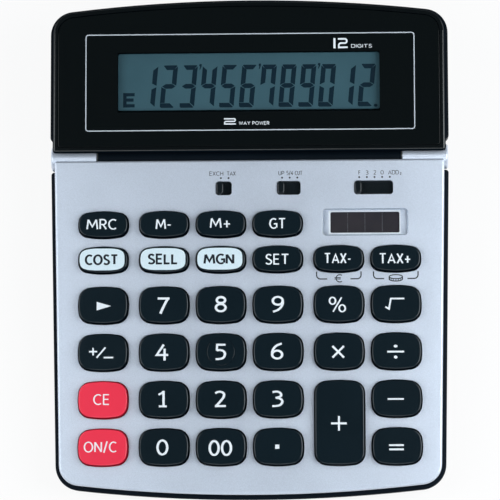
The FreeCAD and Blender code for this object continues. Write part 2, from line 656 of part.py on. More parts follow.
barrel_slot = box(slot_left, slot_right, -BARREL_RADIUS, inner_start,
                  ribbon_w - RIBBON_SLOT / 2, ribbon_w + RIBBON_SLOT / 2)
cover = cover.cut(bores + [barrel_slot])
seat_level = -HEAD_JOINT - SEAT_THICKNESS
for x, v in both_sides(head_screw_places):
    cover = cover.fuse(post(x, v, TUBE_RADIUS, -HEAD_BOTTOM + HEAD_WALL / 2, -HEAD_JOINT))
for x, v in both_sides(head_screw_places):
    counterbore = post(x, v, SCREW_HEAD_RADIUS + SCREW_HEAD_CLEARANCE, -HEAD_BOTTOM, seat_level)
    cover = cover.cut([counterbore, post(x, v, SCREW_RADIUS + SCREW_CLEARANCE, seat_level, -HEAD_JOINT)])
parts["display_rear_cover"] = cover.removeSplitter()


def screw(x, v, seat, length):
    """Pan-head screw whose head bears on a seat from below."""
    head = post(x, v, SCREW_HEAD_RADIUS, seat - SCREW_HEAD_HEIGHT, seat)
    head = head.makeFillet(SCREW_HEAD_HEIGHT / 2, level_edges(head, seat - SCREW_HEAD_HEIGHT))
    return head.fuse(post(x, v, SCREW_RADIUS - PIN_FIT, seat, seat + length)).removeSplitter()


head_screw_length = SEAT_THICKNESS + HEAD_JOINT + bezel_floor - PIN_END_GAP
parts["head_screws"] = Part.makeCompound(
    [screw(x, v, seat_level, head_screw_length) for x, v in both_sides(head_screw_places)])
case_seat = -CASE_JOINT - SEAT_THICKNESS
parts["case_screws"] = Part.makeCompound(
    [screw(x, v, case_seat, SCREW_LENGTH) for x, v in both_sides(case_screw_places)])

# Ribbon: one bent strip from the board, through the hinge barrel, up to the glass ledge
ribbon_line = (
    (board_rear - RIBBON_TAIL - RIBBON_RISE, board_top),
    (board_rear - RIBBON_RISE, board_top),
    (board_rear, ribbon_w - RIBBON_THICKNESS / 2),
    (inner_start + RIBBON_RISE / 2, ribbon_w - RIBBON_THICKNESS / 2),
    (glass_low - RIBBON_RISE / 2, glass_bottom - HOLDER_THICKNESS - RIBBON_THICKNESS),
    (glass_low + RIBBON_TAIL, glass_bottom - HOLDER_THICKNESS - RIBBON_THICKNESS),
)
lower_line = [Vector(RIBBON_X - RIBBON_WIDTH / 2, v, w) for v, w in ribbon_line]
upper_line = [point + Vector(0, 0, RIBBON_THICKNESS) for point in reversed(lower_line)]
strip = Part.Face(Part.makePolygon(lower_line + upper_line + lower_line[:1]))
parts["display_ribbon"] = strip.extrude(Vector(RIBBON_WIDTH, 0, 0))

# Everything above is turned onto the desk; the lower case, battery and feet meet the level floor
parts = {name: on_desk(shape) for name, shape in parts.items()}


def on_floor(x, v, radius, z_low, z_high):
    """Upright round post under a place on the deck."""
    return Part.makeCylinder(radius, z_high - z_low, Vector(x, v * math.cos(math.radians(DECK_SLOPE)), z_low))


far = 4 * (FRONT_HEIGHT + deck_front)
deepest = -deck_rise
floor_top = FOOT_HEIGHT + FLOOR_THICKNESS
rim_half_width = deck_half_width + RIM_WIDTH
rim_front = -deck_front - RIM_WIDTH
below_floor = box(-far, far, -far, far, -far, FOOT_HEIGHT)
lower = shield(rim_half_width, -BACK_WALL, rim_front, deepest, -SKIRT_DEPTH, LOWER_REAR_CORNER,
               DECK_CORNER + RIM_WIDTH, SIDE_TAPER)
lower = lower.makeFillet(RIM_EDGE, level_edges(lower, -SKIRT_DEPTH))
outer = on_desk(lower).cut(below_floor)
outer = outer.makeFillet(FLOOR_EDGE, level_edges(outer, FOOT_HEIGHT))
tray = shield(rim_half_width - LOWER_WALL, -BACK_WALL - LOWER_WALL, rim_front + LOWER_WALL,
              deepest, -SKIRT_DEPTH, LOWER_REAR_CORNER, DECK_CORNER + RIM_WIDTH - LOWER_WALL, SIDE_TAPER)
tray = on_desk(tray).cut(box(-far, far, -far, far, -far, floor_top))
lower = outer.cut(tray)
for x, v in both_sides(case_screw_places):
    lower = lower.fuse(on_desk(post(x, v, TUBE_RADIUS, deepest, -CASE_JOINT)).common(outer))

# Battery well: a ledge for the door, walls, a roof and a boss for the door screw
door_y = BATTERY_V * math.cos(math.radians(DECK_SLOPE))
ledge_level = FOOT_HEIGHT + FLOOR_THICKNESS
pad_top = ledge_level + DOOR_PAD_HEIGHT
cell_top = pad_top + CELL_PLAY + CELL_HEIGHT
roof = cell_top + CELL_PLAY + CONTACT_THICKNESS
room_length = DOOR_LENGTH - 2 * DOOR_LEDGE
room_depth = DOOR_DEPTH - 2 * DOOR_LEDGE
well = rounded_block(DOOR_LENGTH + 2 * WELL_WALL, DOOR_DEPTH + 2 * WELL_WALL, DOOR_CORNER, FOOT_HEIGHT,
                     roof + WELL_WALL, BATTERY_X, door_y)
doorway = rounded_block(DOOR_LENGTH, DOOR_DEPTH, DOOR_CORNER, FOOT_HEIGHT, ledge_level, BATTERY_X, door_y)
room = rounded_block(room_length, room_depth, DOOR_CORNER, ledge_level, roof, BATTERY_X, door_y)
door_screw_x = BATTERY_X + DOOR_SCREW_SHIFT
boss = post(door_screw_x, door_y, BOSS_RADIUS, ledge_level, roof)
pilot = post(door_screw_x, door_y, SCREW_RADIUS, ledge_level, roof)
lower = lower.fuse(well).cut([doorway, room]).fuse(boss).cut(pilot)
door = rounded_block(DOOR_LENGTH - 2 * DOOR_CLEARANCE, DOOR_DEPTH - 2 * DOOR_CLEARANCE,
                     DOOR_CORNER - DOOR_CLEARANCE, FOOT_HEIGHT, ledge_level, BATTERY_X, door_y)
cell_x = BATTERY_X + CELL_SHIFT
door = door.fuse(post(cell_x, door_y, DOOR_PAD_RADIUS, ledge_level, pad_top))
door_seat = ledge_level - FLOOR_THICKNESS / 4
head_room = SCREW_HEAD_RADIUS + SCREW_HEAD_CLEARANCE
door_counterbore = post(door_screw_x, door_y, head_room, FOOT_HEIGHT, door_seat)
shank_hole = post(door_screw_x, door_y, SCREW_RADIUS + SCREW_CLEARANCE, door_seat, ledge_level)
door = door.cut([door_counterbore, shank_hole])
parts["battery_cover"] = door.removeSplitter()
parts["battery_cover_screw"] = screw(door_screw_x, door_y, door_seat, SCREW_LENGTH - SEAT_THICKNESS)
parts["button_cell"] = post(cell_x, door_y, CELL_RADIUS, pad_top + CELL_PLAY, cell_top)
top_contact = box(cell_x - CONTACT_WIDTH / 2, cell_x + CONTACT_WIDTH / 2,
                  door_y - CONTACT_WIDTH / 2, door_y + CONTACT_WIDTH / 2, roof - CONTACT_THICKNESS, roof)
side_x = BATTERY_X - room_length / 2
side_contact = box(side_x, side_x + CONTACT_THICKNESS, door_y - CONTACT_WIDTH / 2, door_y + CONTACT_WIDTH / 2,
                   pad_top, cell_top)
parts["battery_contacts"] = Part.makeCompound([top_contact, side_contact])

# Screw wells, feet and the ribbon's way out of the tray
foot_top = FOOT_HEIGHT + FOOT_SEAT
feet = []
cuts = []
for x, v in both_sides(foot_places):
    foot = on_floor(x, v, FOOT_RADIUS, 0, foot_top)
    feet.append(foot.makeFillet(FOOT_EDGE, level_edges(foot, 0)))
    cuts.append(on_floor(x, v, FOOT_RADIUS + FOOT_CLEARANCE, 0, foot_top))
for x, v in both_sides(case_screw_places):
    cuts.append(on_desk(post(x, v, SCREW_HEAD_RADIUS + SCREW_HEAD_CLEARANCE, deepest, case_seat)))
    cuts.append(on_desk(post(x, v, SCREW_RADIUS + SCREW_CLEARANCE, case_seat, -CASE_JOINT)))
cuts.append(on_desk(box(slot_left, slot_right, -BACK_WALL - LOWER_WALL, -BACK_WALL,
                        ribbon_w - RIBBON_SLOT / 2, ribbon_w + RIBBON_SLOT / 2)))
parts["rubber_feet"] = Part.makeCompound(feet)
parts["lower_case"] = lower.cut(cuts).removeSplitter()

# The origin lies on the desk under the middle of the whole outline
front_y = parts["lower_case"].optimalBoundingBox().YMin
rear_y = parts["display_rear_cover"].optimalBoundingBox().YMax
for name, shape in parts.items():
    shape.translate(Vector(0, -(front_y + rear_y) / 2, 0))
    shape.exportStep(os.path.join("parts", name + ".step"))
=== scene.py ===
import bpy
import json
import math
from mathutils import Matrix, Vector


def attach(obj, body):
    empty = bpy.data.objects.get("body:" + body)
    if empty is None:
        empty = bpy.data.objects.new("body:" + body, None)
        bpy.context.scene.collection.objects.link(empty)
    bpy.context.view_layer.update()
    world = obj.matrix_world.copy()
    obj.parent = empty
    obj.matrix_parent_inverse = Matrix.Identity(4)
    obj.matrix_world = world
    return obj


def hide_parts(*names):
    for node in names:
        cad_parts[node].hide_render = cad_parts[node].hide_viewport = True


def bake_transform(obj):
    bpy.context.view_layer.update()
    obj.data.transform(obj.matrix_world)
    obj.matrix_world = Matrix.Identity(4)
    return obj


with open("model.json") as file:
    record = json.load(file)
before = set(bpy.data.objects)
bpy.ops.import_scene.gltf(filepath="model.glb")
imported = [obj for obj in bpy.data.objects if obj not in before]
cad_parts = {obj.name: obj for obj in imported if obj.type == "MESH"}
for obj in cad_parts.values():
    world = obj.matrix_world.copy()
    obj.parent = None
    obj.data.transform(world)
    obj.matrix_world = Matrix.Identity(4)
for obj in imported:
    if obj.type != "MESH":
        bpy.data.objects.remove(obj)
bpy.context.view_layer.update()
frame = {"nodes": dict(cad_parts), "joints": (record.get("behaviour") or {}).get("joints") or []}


# Lower case: the wedge-shaped tray under the calculator, injection moulded in black plastic with a
# fine spark-eroded grain. Six screws from below draw it up against the skirt of the upper case.
def new_finish(name):
    """Empty finish: the material, its shader, and the calls that add and join its nodes."""
    material = bpy.data.materials.new(name)
    material.use_nodes = True
    tree = material.node_tree
    return material, tree.nodes["Principled BSDF"], tree.nodes.new, tree.links.new


def texture(add, join, kind, scale):
    """A pattern of some kind, fixed to the piece, with about so many repeats in a metre."""
    pattern = add("ShaderNodeTex" + kind)
    pattern.inputs["Scale"].default_value = scale
    join(add("ShaderNodeTexCoord").outputs["Object"], pattern.inputs["Vector"])
    return pattern


def lumps(add, join, size, detail=2.0):
    """Soft lumps of about the given size in metres."""
    noise = texture(add, join, "Noise", 1 / size)
    noise.inputs["Detail"].default_value = detail
    return noise.outputs["Fac"]


def vary(add, join, pattern, low, high):
    """Value that follows a pattern from low to high."""
    spread = add("ShaderNodeMapRange")
    spread.inputs["From Min"].default_value = 0.3
    spread.inputs["From Max"].default_value = 0.7
    spread.inputs["To Min"].default_value = low
    spread.inputs["To Max"].default_value = high
    join(pattern, spread.inputs["Value"])
    return spread.outputs["Result"]


def shade(add, join, pattern, dark, light):
    """Colour that follows a pattern from dark to light."""
    ramp = add("ShaderNodeValToRGB")
    ramp.color_ramp.elements[0].position = 0.3
    ramp.color_ramp.elements[0].color = (*dark, 1)
    ramp.color_ramp.elements[1].position = 0.7
    ramp.color_ramp.elements[1].color = (*light, 1)
    join(pattern, ramp.inputs["Fac"])
    return ramp.outputs["Color"]


def relief(add, join, pattern, height):
    """Surface raised and sunk by a pattern, over a height in metres."""
    bump = add("ShaderNodeBump")
    bump.inputs["Distance"].default_value = height
    join(pattern, bump.inputs["Height"])
    return bump.outputs["Normal"]


def uneven_finish(name, tone, skin, grain=None, gloss=0.5, metal=0.0):
    """Finish in lumps: tone is dark, light and size, skin is least and most rough and size, grain is
    height and size. A size may be followed by the detail of its lumps."""
    material, shader, add, join = new_finish(name)
    dark, light, *tone_size = tone
    smoothest, roughest, *skin_size = skin
    join(shade(add, join, lumps(add, join, *tone_size), dark, light), shader.inputs["Base Color"])
    join(vary(add, join, lumps(add, join, *skin_size), smoothest, roughest), shader.inputs["Roughness"])
    if grain:
        height, *grain_size = grain
        join(relief(add, join, lumps(add, join, *grain_size), height), shader.inputs["Normal"])
    shader.inputs["Specular IOR Level"].default_value = gloss
    shader.inputs["Metallic"].default_value = metal
    return material


DRIFT_SIZE = 0.02
PATCH_SIZE = 0.005


def moulded_plastic(name, colour, satin, grain_size, grain_height, gloss=0.5, drift=0.12, patch=0.05):
    """Moulded plastic with a fine grain, a slow drift of tone and patches of smoother skin."""
    dark = [channel * (1 - drift) for channel in colour]
    light = [channel * (1 + drift) for channel in colour]
    skin = (satin - patch, satin + patch, PATCH_SIZE)
    return uneven_finish(name, (dark, light, DRIFT_SIZE), skin, (grain_height, grain_size), gloss)


def coat(mesh, material):
    """Give a mesh one finish."""
    mesh.materials.clear()
    mesh.materials.append(material)


def dress(material, *names):
    """Give nodes of the frame a finish."""
    for name in names:
        coat(frame["nodes"][name].data, material)


case_black = moulded_plastic("case_black", (0.0040, 0.0075, 0.0125), 0.5, 0.0005, 0.00002, gloss=0.05)
dress(case_black, "lower_case")


# Battery cover: a flat door moulded in the same black plastic, a little smoother than the tray around
# it. It drops on to a ledge in the floor and one screw holds it.
door_black = moulded_plastic("door_black", (0.007, 0.010, 0.013), 0.44, 0.0004, 0.00001, gloss=0.25)
dress(door_black, "battery_cover")


# Feet: four discs of soft black rubber, die cut and glued into shallow round seats in the floor.
# The skin is dull and faintly dusty, with small pits.
rubber = (0.012, 0.012, 0.012)
dusty = (0.0264, 0.0264, 0.0264)
foot_rubber = uneven_finish("foot_rubber", (rubber, dusty, 0.003, 6), (0.75, 0.92, 0.002),
                            (0.00006, 0.0006, 4), gloss=0.3)
dress(foot_rubber, "rubber_feet")


# Screws: pan-head steel screws with a crossed recess, cold formed and zinc plated. Six close the case,
# four close the display head, one holds the battery cover and four hold the board.
SCREW_SLOT_WIDTH = 0.7
SCREW_SLOT_DEPTH = 0.7
SCREW_SLOT_REACH = 1.25
SCREW_TIP = 0.5
SCREW_HEAD_HEIGHT = 0.54
SCREW_SHANK = 0.51
MILLIMETRE = 0.001
SEAM = 0.000001
KEY_TOP = 3.0
HINGE_DROP = 5.4
# The deck has its own directions in millimetres: x across, v up the slope from the hinge, w square to it.
deck_normal = -Vector(frame["joints"][-1]["axis"])
deck_slope = math.atan2(-deck_normal.y, deck_normal.z)
deck_turn = Matrix.Rotation(deck_slope, 4, "X")
hinge_place = Vector(frame["joints"][0]["pos_m"])
deck = Matrix.Translation(hinge_place) @ deck_turn @ Matrix.Scale(MILLIMETRE, 4)
deck = deck @ Matrix.Translation((0, 0, HINGE_DROP))


def box_along(mesh, axes):
    """Lowest and highest corners of a mesh in millimetres along the given directions."""
    back = axes.inverted()
    points = [back @ vertex.co for vertex in mesh.vertices]
    low = Vector([min(point[axis] for point in points) for axis in range(3)])
    high = Vector([max(point[axis] for point in points) for axis in range(3)])
    return low, high


def chosen_copy(name, mesh):
    """A new piece with a copy of a mesh, selected and active."""
    copy = bpy.data.objects.new(name, mesh.copy())
    bpy.context.collection.objects.link(copy)
    copy.select_set(True)
    bpy.context.view_layer.objects.active = copy
    return copy


def edit_whole():
    """Open the active piece for editing with all of it selected."""
    bpy.ops.object.mode_set(mode="EDIT")
    bpy.ops.mesh.select_all(action="SELECT")


def loose_solids(name, axes):
    """Corner pairs of the separate solids in one node, along the given directions."""
    bpy.ops.object.select_all(action="DESELECT")
    chosen_copy(name + "_copy", frame["nodes"][name].data)
    edit_whole()
    bpy.ops.mesh.remove_doubles(threshold=SEAM)
    bpy.ops.mesh.separate(type="LOOSE")
    bpy.ops.object.mode_set(mode="OBJECT")
    pieces = list(bpy.context.selected_objects)
    boxes = [box_along(piece.data, axes) for piece in pieces]
    for piece in pieces:
        bpy.data.objects.remove(piece)
    return boxes


def plated_steel(name, colour, rough):
    """Plated steel with fine drawn scratches and a few duller patches."""
    dull = [channel * 0.8 for channel in colour]
    skin = (rough - 0.08, rough + 0.1, 0.0008, 4)
    return uneven_finish(name, (dull, colour, 0.002, 4), skin, (0.000004, 0.0003), metal=1.0)


def crossed_screw(head_radius, head_height, shank_radius, shank_length):
    """One screw, head down, with its seat at the origin, in millimetres."""
    bpy.ops.object.select_all(action="DESELECT")
    bpy.ops.mesh.primitive_cylinder_add(vertices=40, radius=head_radius, depth=head_height,
                                        location=(0, 0, -head_height / 2))
    screw = bpy.context.object
    bpy.ops.object.transform_apply(location=True)
    bpy.ops.object.mode_set(mode="EDIT")
    bpy.ops.mesh.select_mode(type="EDGE")
    bpy.ops.mesh.select_all(action="DESELECT")
    bpy.ops.object.mode_set(mode="OBJECT")
    for edge in screw.data.edges:
        ends = [screw.data.vertices[i].co.z for i in edge.vertices]
        edge.select = max(ends) < -head_height * 0.9
    bpy.ops.object.mode_set(mode="EDIT")
    bpy.ops.mesh.bevel(offset=head_height * 0.5, segments=5, profile=0.5)
    bpy.ops.mesh.select_mode(type="FACE")
    bpy.ops.mesh.select_all(action="DESELECT")
    bpy.ops.object.mode_set(mode="OBJECT")
    for face in screw.data.polygons:
        face.select = face.normal.z > 0.9
    bpy.ops.object.mode_set(mode="EDIT")
    bpy.ops.mesh.inset(thickness=head_radius - shank_radius)
    bpy.ops.mesh.extrude_region_move(TRANSFORM_OT_translate={"value": (0, 0, shank_length - SCREW_TIP)})
    bpy.ops.mesh.extrude_region_move(TRANSFORM_OT_translate={"value": (0, 0, SCREW_TIP)})
    bpy.ops.transform.resize(value=(0.5, 0.5, 1))
    bpy.ops.object.mode_set(mode="OBJECT")
    for turn in (0, math.pi / 2):
        bpy.ops.object.select_all(action="DESELECT")
        bpy.ops.mesh.primitive_cube_add(size=1, location=(0, 0, -head_height), rotation=(0, 0, turn))
        blade = bpy.context.object
        blade.scale = (head_radius * SCREW_SLOT_REACH, SCREW_SLOT_WIDTH, 2 * SCREW_SLOT_DEPTH)
        bpy.context.view_layer.objects.active = screw
        cut = screw.modifiers.new("recess", "BOOLEAN")
        cut.object = blade
        bpy.ops.object.modifier_apply(modifier="recess")
        bpy.data.objects.remove(blade)
    return screw


def fitted_screws(name, node, body, finish, axes):
    """Copies of one screw in the places of a node's screws, in place of that node."""
    boxes = loose_solids(node, axes)
    low, high = boxes[0]
    head_radius = (high.x - low.x) / 2
    head_height = head_radius * SCREW_HEAD_HEIGHT
    shank_length = high.z - low.z - head_height
    screw = crossed_screw(head_radius, head_height, head_radius * SCREW_SHANK, shank_length)
    bpy.ops.object.select_all(action="DESELECT")
    for low, high in boxes:
        seat = ((low.x + high.x) / 2, (low.y + high.y) / 2, low.z + head_height)
        chosen_copy(name, screw.data).data.transform(axes @ Matrix.Translation(seat))
    bpy.data.objects.remove(screw)
    if len(boxes) > 1:
        bpy.ops.object.join()
    screws = bpy.context.view_layer.objects.active
    screws.name = name
    coat(screws.data, finish)
    bpy.ops.object.shade_smooth_by_angle(angle=math.radians(35))
    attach(screws, body)
    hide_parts(node)


zinc = plated_steel("zinc_plate", (0.55, 0.56, 0.58), 0.34)
desk = Matrix.Scale(MILLIMETRE, 4)
fitted_screws("case_screw_set", "case_screws", "body", zinc, deck)
fitted_screws("head_screw_set", "head_screws", "display_head", zinc, deck)
fitted_screws("cover_screw", "battery_cover_screw", "body", zinc, desk)
dress(zinc, "board_screws", "hinge_pins")


# Upper case: the bowed key deck with its skirt and hinge knuckles, one moulding in plastic. It is
# sprayed with a fine silver paint whose aluminium flakes give it a soft, slightly blue sheen.
FLAKES = 6500
FLAKE_SPREAD = 0.05


def flake_paint(name, colour):
    """Silver paint: small flakes of differing brightness and tilt under a satin skin."""
    material, shader, add, join = new_finish(name)
    glint = add("ShaderNodeSeparateColor")
    join(texture(add, join, "Voronoi", FLAKES).outputs["Color"], glint.inputs["Color"])
    dark = [channel * (1 - FLAKE_SPREAD) for channel in colour]
    light = [channel * (1 + FLAKE_SPREAD) for channel in colour]
    join(shade(add, join, glint.outputs["Red"], dark, light), shader.inputs["Base Color"])
    join(vary(add, join, lumps(add, join, 0.012), 0.36, 0.40), shader.inputs["Roughness"])
    join(relief(add, join, glint.outputs["Green"], 0.000003), shader.inputs["Normal"])
    shader.inputs["Metallic"].default_value = 0.6
    return material


dress(flake_paint("deck_silver", (0.68, 0.735, 0.835)), "upper_case")


# Inside: the board with its switch bodies and sealed chip, the silicone mat with a dome under each
# key, the washers of the hinge, the holder of the display glass, and the cell with its contacts.
TRACKS = 160


def solder_mask(name):
    """Green lacquer over copper tracks that show as slightly raised paler lines."""
    material, shader, add, join = new_finish(name)
    tracks = texture(add, join, "Brick", TRACKS)
    tracks.inputs["Color1"].default_value = (0.010, 0.075, 0.030, 1)
    tracks.inputs["Color2"].default_value = (0.014, 0.090, 0.036, 1)
    tracks.inputs["Mortar"].default_value = (0.030, 0.150, 0.060, 1)
    tracks.inputs["Mortar Size"].default_value = 0.03
    join(tracks.outputs["Color"], shader.inputs["Base Color"])
    join(relief(add, join, tracks.outputs["Fac"], 0.00003), shader.inputs["Normal"])
    join(vary(add, join, lumps(add, join, 0.004), 0.25, 0.4), shader.inputs["Roughness"])
    return material


dress(solder_mask("board_green"), "main_board")
dress(moulded_plastic("mat_silicone", (0.20, 0.21, 0.22), 0.6, 0.0008, 0.00001), "key_mat")
dress(moulded_plastic("chip_epoxy", (0.008, 0.008, 0.009), 0.2, 0.003, 0.00004), "chip_cover")
dress(moulded_plastic("switch_nylon", (0.02, 0.02, 0.021), 0.5, 0.0004, 0.00001), "switch_bodies")
dress(moulded_plastic("washer_nylon", (0.55, 0.54, 0.50), 0.45, 0.0006, 0.00001), "friction_washers")
dress(moulded_plastic("holder_white", (0.60, 0.60, 0.57), 0.5, 0.0005, 0.00001), "lcd_holder")
dress(plated_steel("nickel_plate", (0.66, 0.64, 0.60), 0.25), "button_cell", "battery_contacts")


# Ribbon: a flat cable of copper lines between two amber films, soldered to the board and bonded to the
# display glass. It is cut across into short lengths where it passes from the body into the barrel of
# the hinge, where the real one bends.
RIBBON_BEND = (-6.5, -2.5)
RIBBON_CUTS = 13
CONDUCTORS = 320


def ribbon_film(name):
    """Amber film with dark conductors side by side along its length."""
    material, shader, add, join = new_finish(name)
    lines = texture(add, join, "Wave", CONDUCTORS).outputs["Fac"]
    join(shade(add, join, lines, (0.20, 0.09, 0.02), (0.42, 0.21, 0.05)), shader.inputs["Base Color"])
    join(vary(add, join, lines, 0.2, 0.35), shader.inputs["Roughness"])
    join(relief(add, join, lines, 0.00002), shader.inputs["Normal"])
    return material


bpy.ops.object.select_all(action="DESELECT")
ribbon = chosen_copy("ribbon_strip", frame["nodes"]["display_ribbon"].data)
coat(ribbon.data, ribbon_film("ribbon_amber"))
edit_whole()
bpy.ops.mesh.remove_doubles(threshold=SEAM)
along_ribbon = deck_turn.to_3x3() @ Vector((0, 1, 0))
for i in range(RIBBON_CUTS):
    cut_v = RIBBON_BEND[0] + (RIBBON_BEND[1] - RIBBON_BEND[0]) * i / (RIBBON_CUTS - 1)
    bpy.ops.mesh.select_all(action="SELECT")
    bpy.ops.mesh.bisect(plane_co=deck @ Vector((0, cut_v, 0)), plane_no=along_ribbon)
bpy.ops.object.mode_set(mode="OBJECT")
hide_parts("display_ribbon")
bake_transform(ribbon)


# Solar cell: a strip of four dark cells on glass behind a clear polished lens let into the deck.
# A bright moulded rim surrounds the strip and thin scribed lines divide its cells.
POLISH_SIZE = 0.01
POLISH = (0.07, 0.10)


def combine(add, join, operation, *values):
    """Result of an operation on values, each a number or an output of a node."""
    step = add("ShaderNodeMath")
    step.operation = operation
    for i, value in enumerate(values):
        if isinstance(value, (int, float)):
            step.inputs[i].default_value = value
        else:
            join(value, step.inputs[i])
    return step.outputs["Value"]


def mix_by(share, first, second, material, add, join):
    """Let a finish pass from a first shader to a second by a share."""
    both = add("ShaderNodeMixShader")
    for socket, output in zip(both.inputs, (share, first, second)):
        join(output, socket)
    join(both.outputs["Shader"], material.node_tree.nodes["Material Output"].inputs["Surface"])


def clear_plastic(name, tint):
    """Polished clear plastic: see-through, with a mirror skin that grows towards grazing views."""
    material, _, add, join = new_finish(name)
    skin = add("ShaderNodeBsdfGlossy")
    skin.inputs["Color"].default_value = (1, 1, 1, 1)
    join(vary(add, join, lumps(add, join, POLISH_SIZE), *POLISH), skin.inputs["Roughness"])
    through = add("ShaderNodeBsdfTransparent")
    through.inputs["Color"].default_value = (*tint, 1)
    edge = add("ShaderNodeFresnel")
    edge.inputs["IOR"].default_value = 1.45
    join(relief(add, join, lumps(add, join, 0.02), 0.00001), edge.inputs["Normal"])
    outside = combine(add, join, "SUBTRACT", 1.0, add("ShaderNodeNewGeometry").outputs["Backfacing"])
    skin_share = combine(add, join, "MULTIPLY", edge.outputs["Fac"], outside)
    mix_by(skin_share, through.outputs["BSDF"], skin.outputs["BSDF"], material, add, join)
    return material


INK_HEIGHT = 0.03
INK_STEP = 0.004
INK_STEPS = 4


def pen(points, width, slim=1.0):
    """Outline of a stroke along a line of points, its level runs slimmer by the given share."""
    count = len(points)
    left = []
    right = []
    for i in range(count):
        before = Vector(points[max(i - 1, 0)])
        after = Vector(points[min(i + 1, count - 1)])
        here = Vector(points[i])
        first = (here - before).normalized() if i > 0 else (after - here).normalized()
        second = (after - here).normalized() if i < count - 1 else first
        along = (first + second).normalized()
        across = Vector((-along.y, along.x))
        across *= width / 2 * math.hypot(across.x, across.y * slim) / max(along.dot(first), 0.5)
        left.append(tuple(here + across))
        right.append(tuple(here - across))
    return left[::-1] + right


def arc(x, v, radius_x, radius_v, start, end, steps):
    """Points along an arc of a circle or an ellipse, between two angles in degrees."""
    turns = [math.radians(start + (end - start) * i / steps) for i in range(steps + 1)]
    return [(x + radius_x * math.cos(turn), v + radius_v * math.sin(turn)) for turn in turns]


def raise_ink():
    """Give the open flat piece the thickness of printed ink and close it."""
    bpy.ops.mesh.select_all(action="SELECT")
    bpy.ops.mesh.extrude_region_move(TRANSFORM_OT_translate={"value": (0, 0, INK_HEIGHT)})
    bpy.ops.mesh.select_all(action="SELECT")
    bpy.ops.mesh.normals_make_consistent(inside=False)
    bpy.ops.object.mode_set(mode="OBJECT")


def plate(name, width, depth):
    """A flat rectangle about the origin, open for editing."""
    bpy.ops.object.select_all(action="DESELECT")
    bpy.ops.mesh.primitive_plane_add(size=1)
    piece = bpy.context.object
    piece.name = name
    piece.data.transform(Matrix.Diagonal((width, depth, 1, 1)))
    edit_whole()
    return piece


def flat_prints(name, outlines):
    """One mesh of flat raised patches, each given by its outline in millimetres."""
    bpy.ops.object.select_all(action="DESELECT")
    patches = []
    for i, outline in enumerate(outlines):
        bpy.ops.mesh.primitive_circle_add(vertices=len(outline), fill_type="NGON")
        patch = bpy.context.object
        for vertex, (x, v) in zip(patch.data.vertices, outline):
            vertex.co = (x, v, i % INK_STEPS * INK_STEP)
        patches.append(patch)
    for patch in patches:
        patch.select_set(True)
    if len(patches) > 1:
        bpy.ops.object.join()
    prints = bpy.context.object
    prints.name = name
    bpy.ops.object.mode_set(mode="EDIT")
    raise_ink()
    for vertex in prints.data.vertices:
        if vertex.co.z < INK_HEIGHT / 2:
            vertex.co.z = 0
    return prints


def lay(piece, x, v, w, body, finish):
    """Set a piece made in millimetres on the deck's directions, and fix it to a body."""
    piece.data.transform(deck @ Matrix.Translation((x, v, w)))
    coat(piece.data, finish)
    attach(piece, body)


def printed_ink(name, colour, rough=0.5, gloss=0.5):
    """Screen-printed ink with a slight mottle and a fine uneven skin."""
    thin = [channel * 0.92 for channel in colour]
    skin = (rough - 0.06, rough + 0.06, 0.0008)
    return uneven_finish(name, (thin, colour, 0.0004), skin, (0.000003, 0.0003), gloss)


CELLS = 4
CELL_BORDER = 1.4
CELL_LINE = 0.22
RIM_LEFT = 0.62
RIM_RIGHT = 0.36
RIM_END = 0.42
RIM_LIFT = 0.01
FLAT_TURN = 0.97
UPRIGHT_TURN = 0.05
LEFT_TURN = -0.2
white_ink = printed_ink("white_ink", (0.84, 0.87, 0.90))
cell_tone = ((0.030, 0.027, 0.032), (0.040, 0.034, 0.038), 0.008)
dress(uneven_finish("cell_film", cell_tone, (0.12, 0.22, 0.002)), "solar_cell")
dress(clear_plastic("lens_clear", (0.99, 0.995, 1.0)), "solar_window")
lens = frame["nodes"]["solar_window"].data
# The lens's sloping edge faces are coloured opaque: grey-blue as painted shade along its edges, and near
# white on the faces turned to the left as a painted glow of light passing through the lens.
lens.materials.append(moulded_plastic("lens_edge", (0.40, 0.46, 0.55), 0.2, 0.001, 0.000002))
lens.materials.append(moulded_plastic("lens_end", (0.92, 0.94, 0.96), 0.2, 0.001, 0.000002))
for face in lens.polygons:
    if UPRIGHT_TURN < face.normal.dot(deck_normal) < FLAT_TURN:
        face.material_index = 2 if face.normal.x < LEFT_TURN else 1
cell_low, cell_high = box_along(frame["nodes"]["solar_cell"].data, deck)
cell_x = (cell_low.x + cell_high.x) / 2
cell_v = (cell_low.y + cell_high.y) / 2
cell_length = cell_high.x - cell_low.x - 2 * CELL_BORDER
cell_depth = cell_high.y - cell_low.y - 2 * CELL_BORDER
divisions = [i * cell_length / CELLS - cell_length / 2 for i in range(1, CELLS)]
scribes = [pen([(x, -cell_depth / 2), (x, cell_depth / 2)], CELL_LINE) for x in divisions]
line_grey = printed_ink("line_grey", (0.075, 0.075, 0.085), 0.3)
lay(flat_prints("cell_lines", scribes), cell_x, cell_v, cell_high.z, "body", line_grey)

rim = plate("cell_rim", cell_length + 2 * RIM_END, cell_depth + 2 * RIM_END)
bpy.ops.mesh.inset(thickness=RIM_END)
bpy.ops.object.mode_set(mode="OBJECT")
for vertex in rim.data.vertices:
    if abs(vertex.co.x) > cell_length / 2 + RIM_END / 2:
        vertex.co.x = cell_length / 2 + RIM_RIGHT if vertex.co.x > 0 else -cell_length / 2 - RIM_LEFT
bpy.ops.object.mode_set(mode="EDIT")
bpy.ops.mesh.delete(type="FACE")
raise_ink()
lens_bottom = box_along(lens, deck)[0].z
lay(rim, cell_x, cell_v, lens_bottom + RIM_LIFT, "body", white_ink)


# Slide switches: small black knobs that run in slots, each on a shutter that keeps its slot covered.
# They are moulded in black plastic with a slightly glossy top from handling.
knob_black = moulded_plastic("knob_black", (0.0045, 0.0080, 0.0105), 0.22, 0.0004, 0.000003,
                             gloss=0.35, patch=0.02)
dress(knob_black, "slider_mode", "slider_round", "slider_decimal")
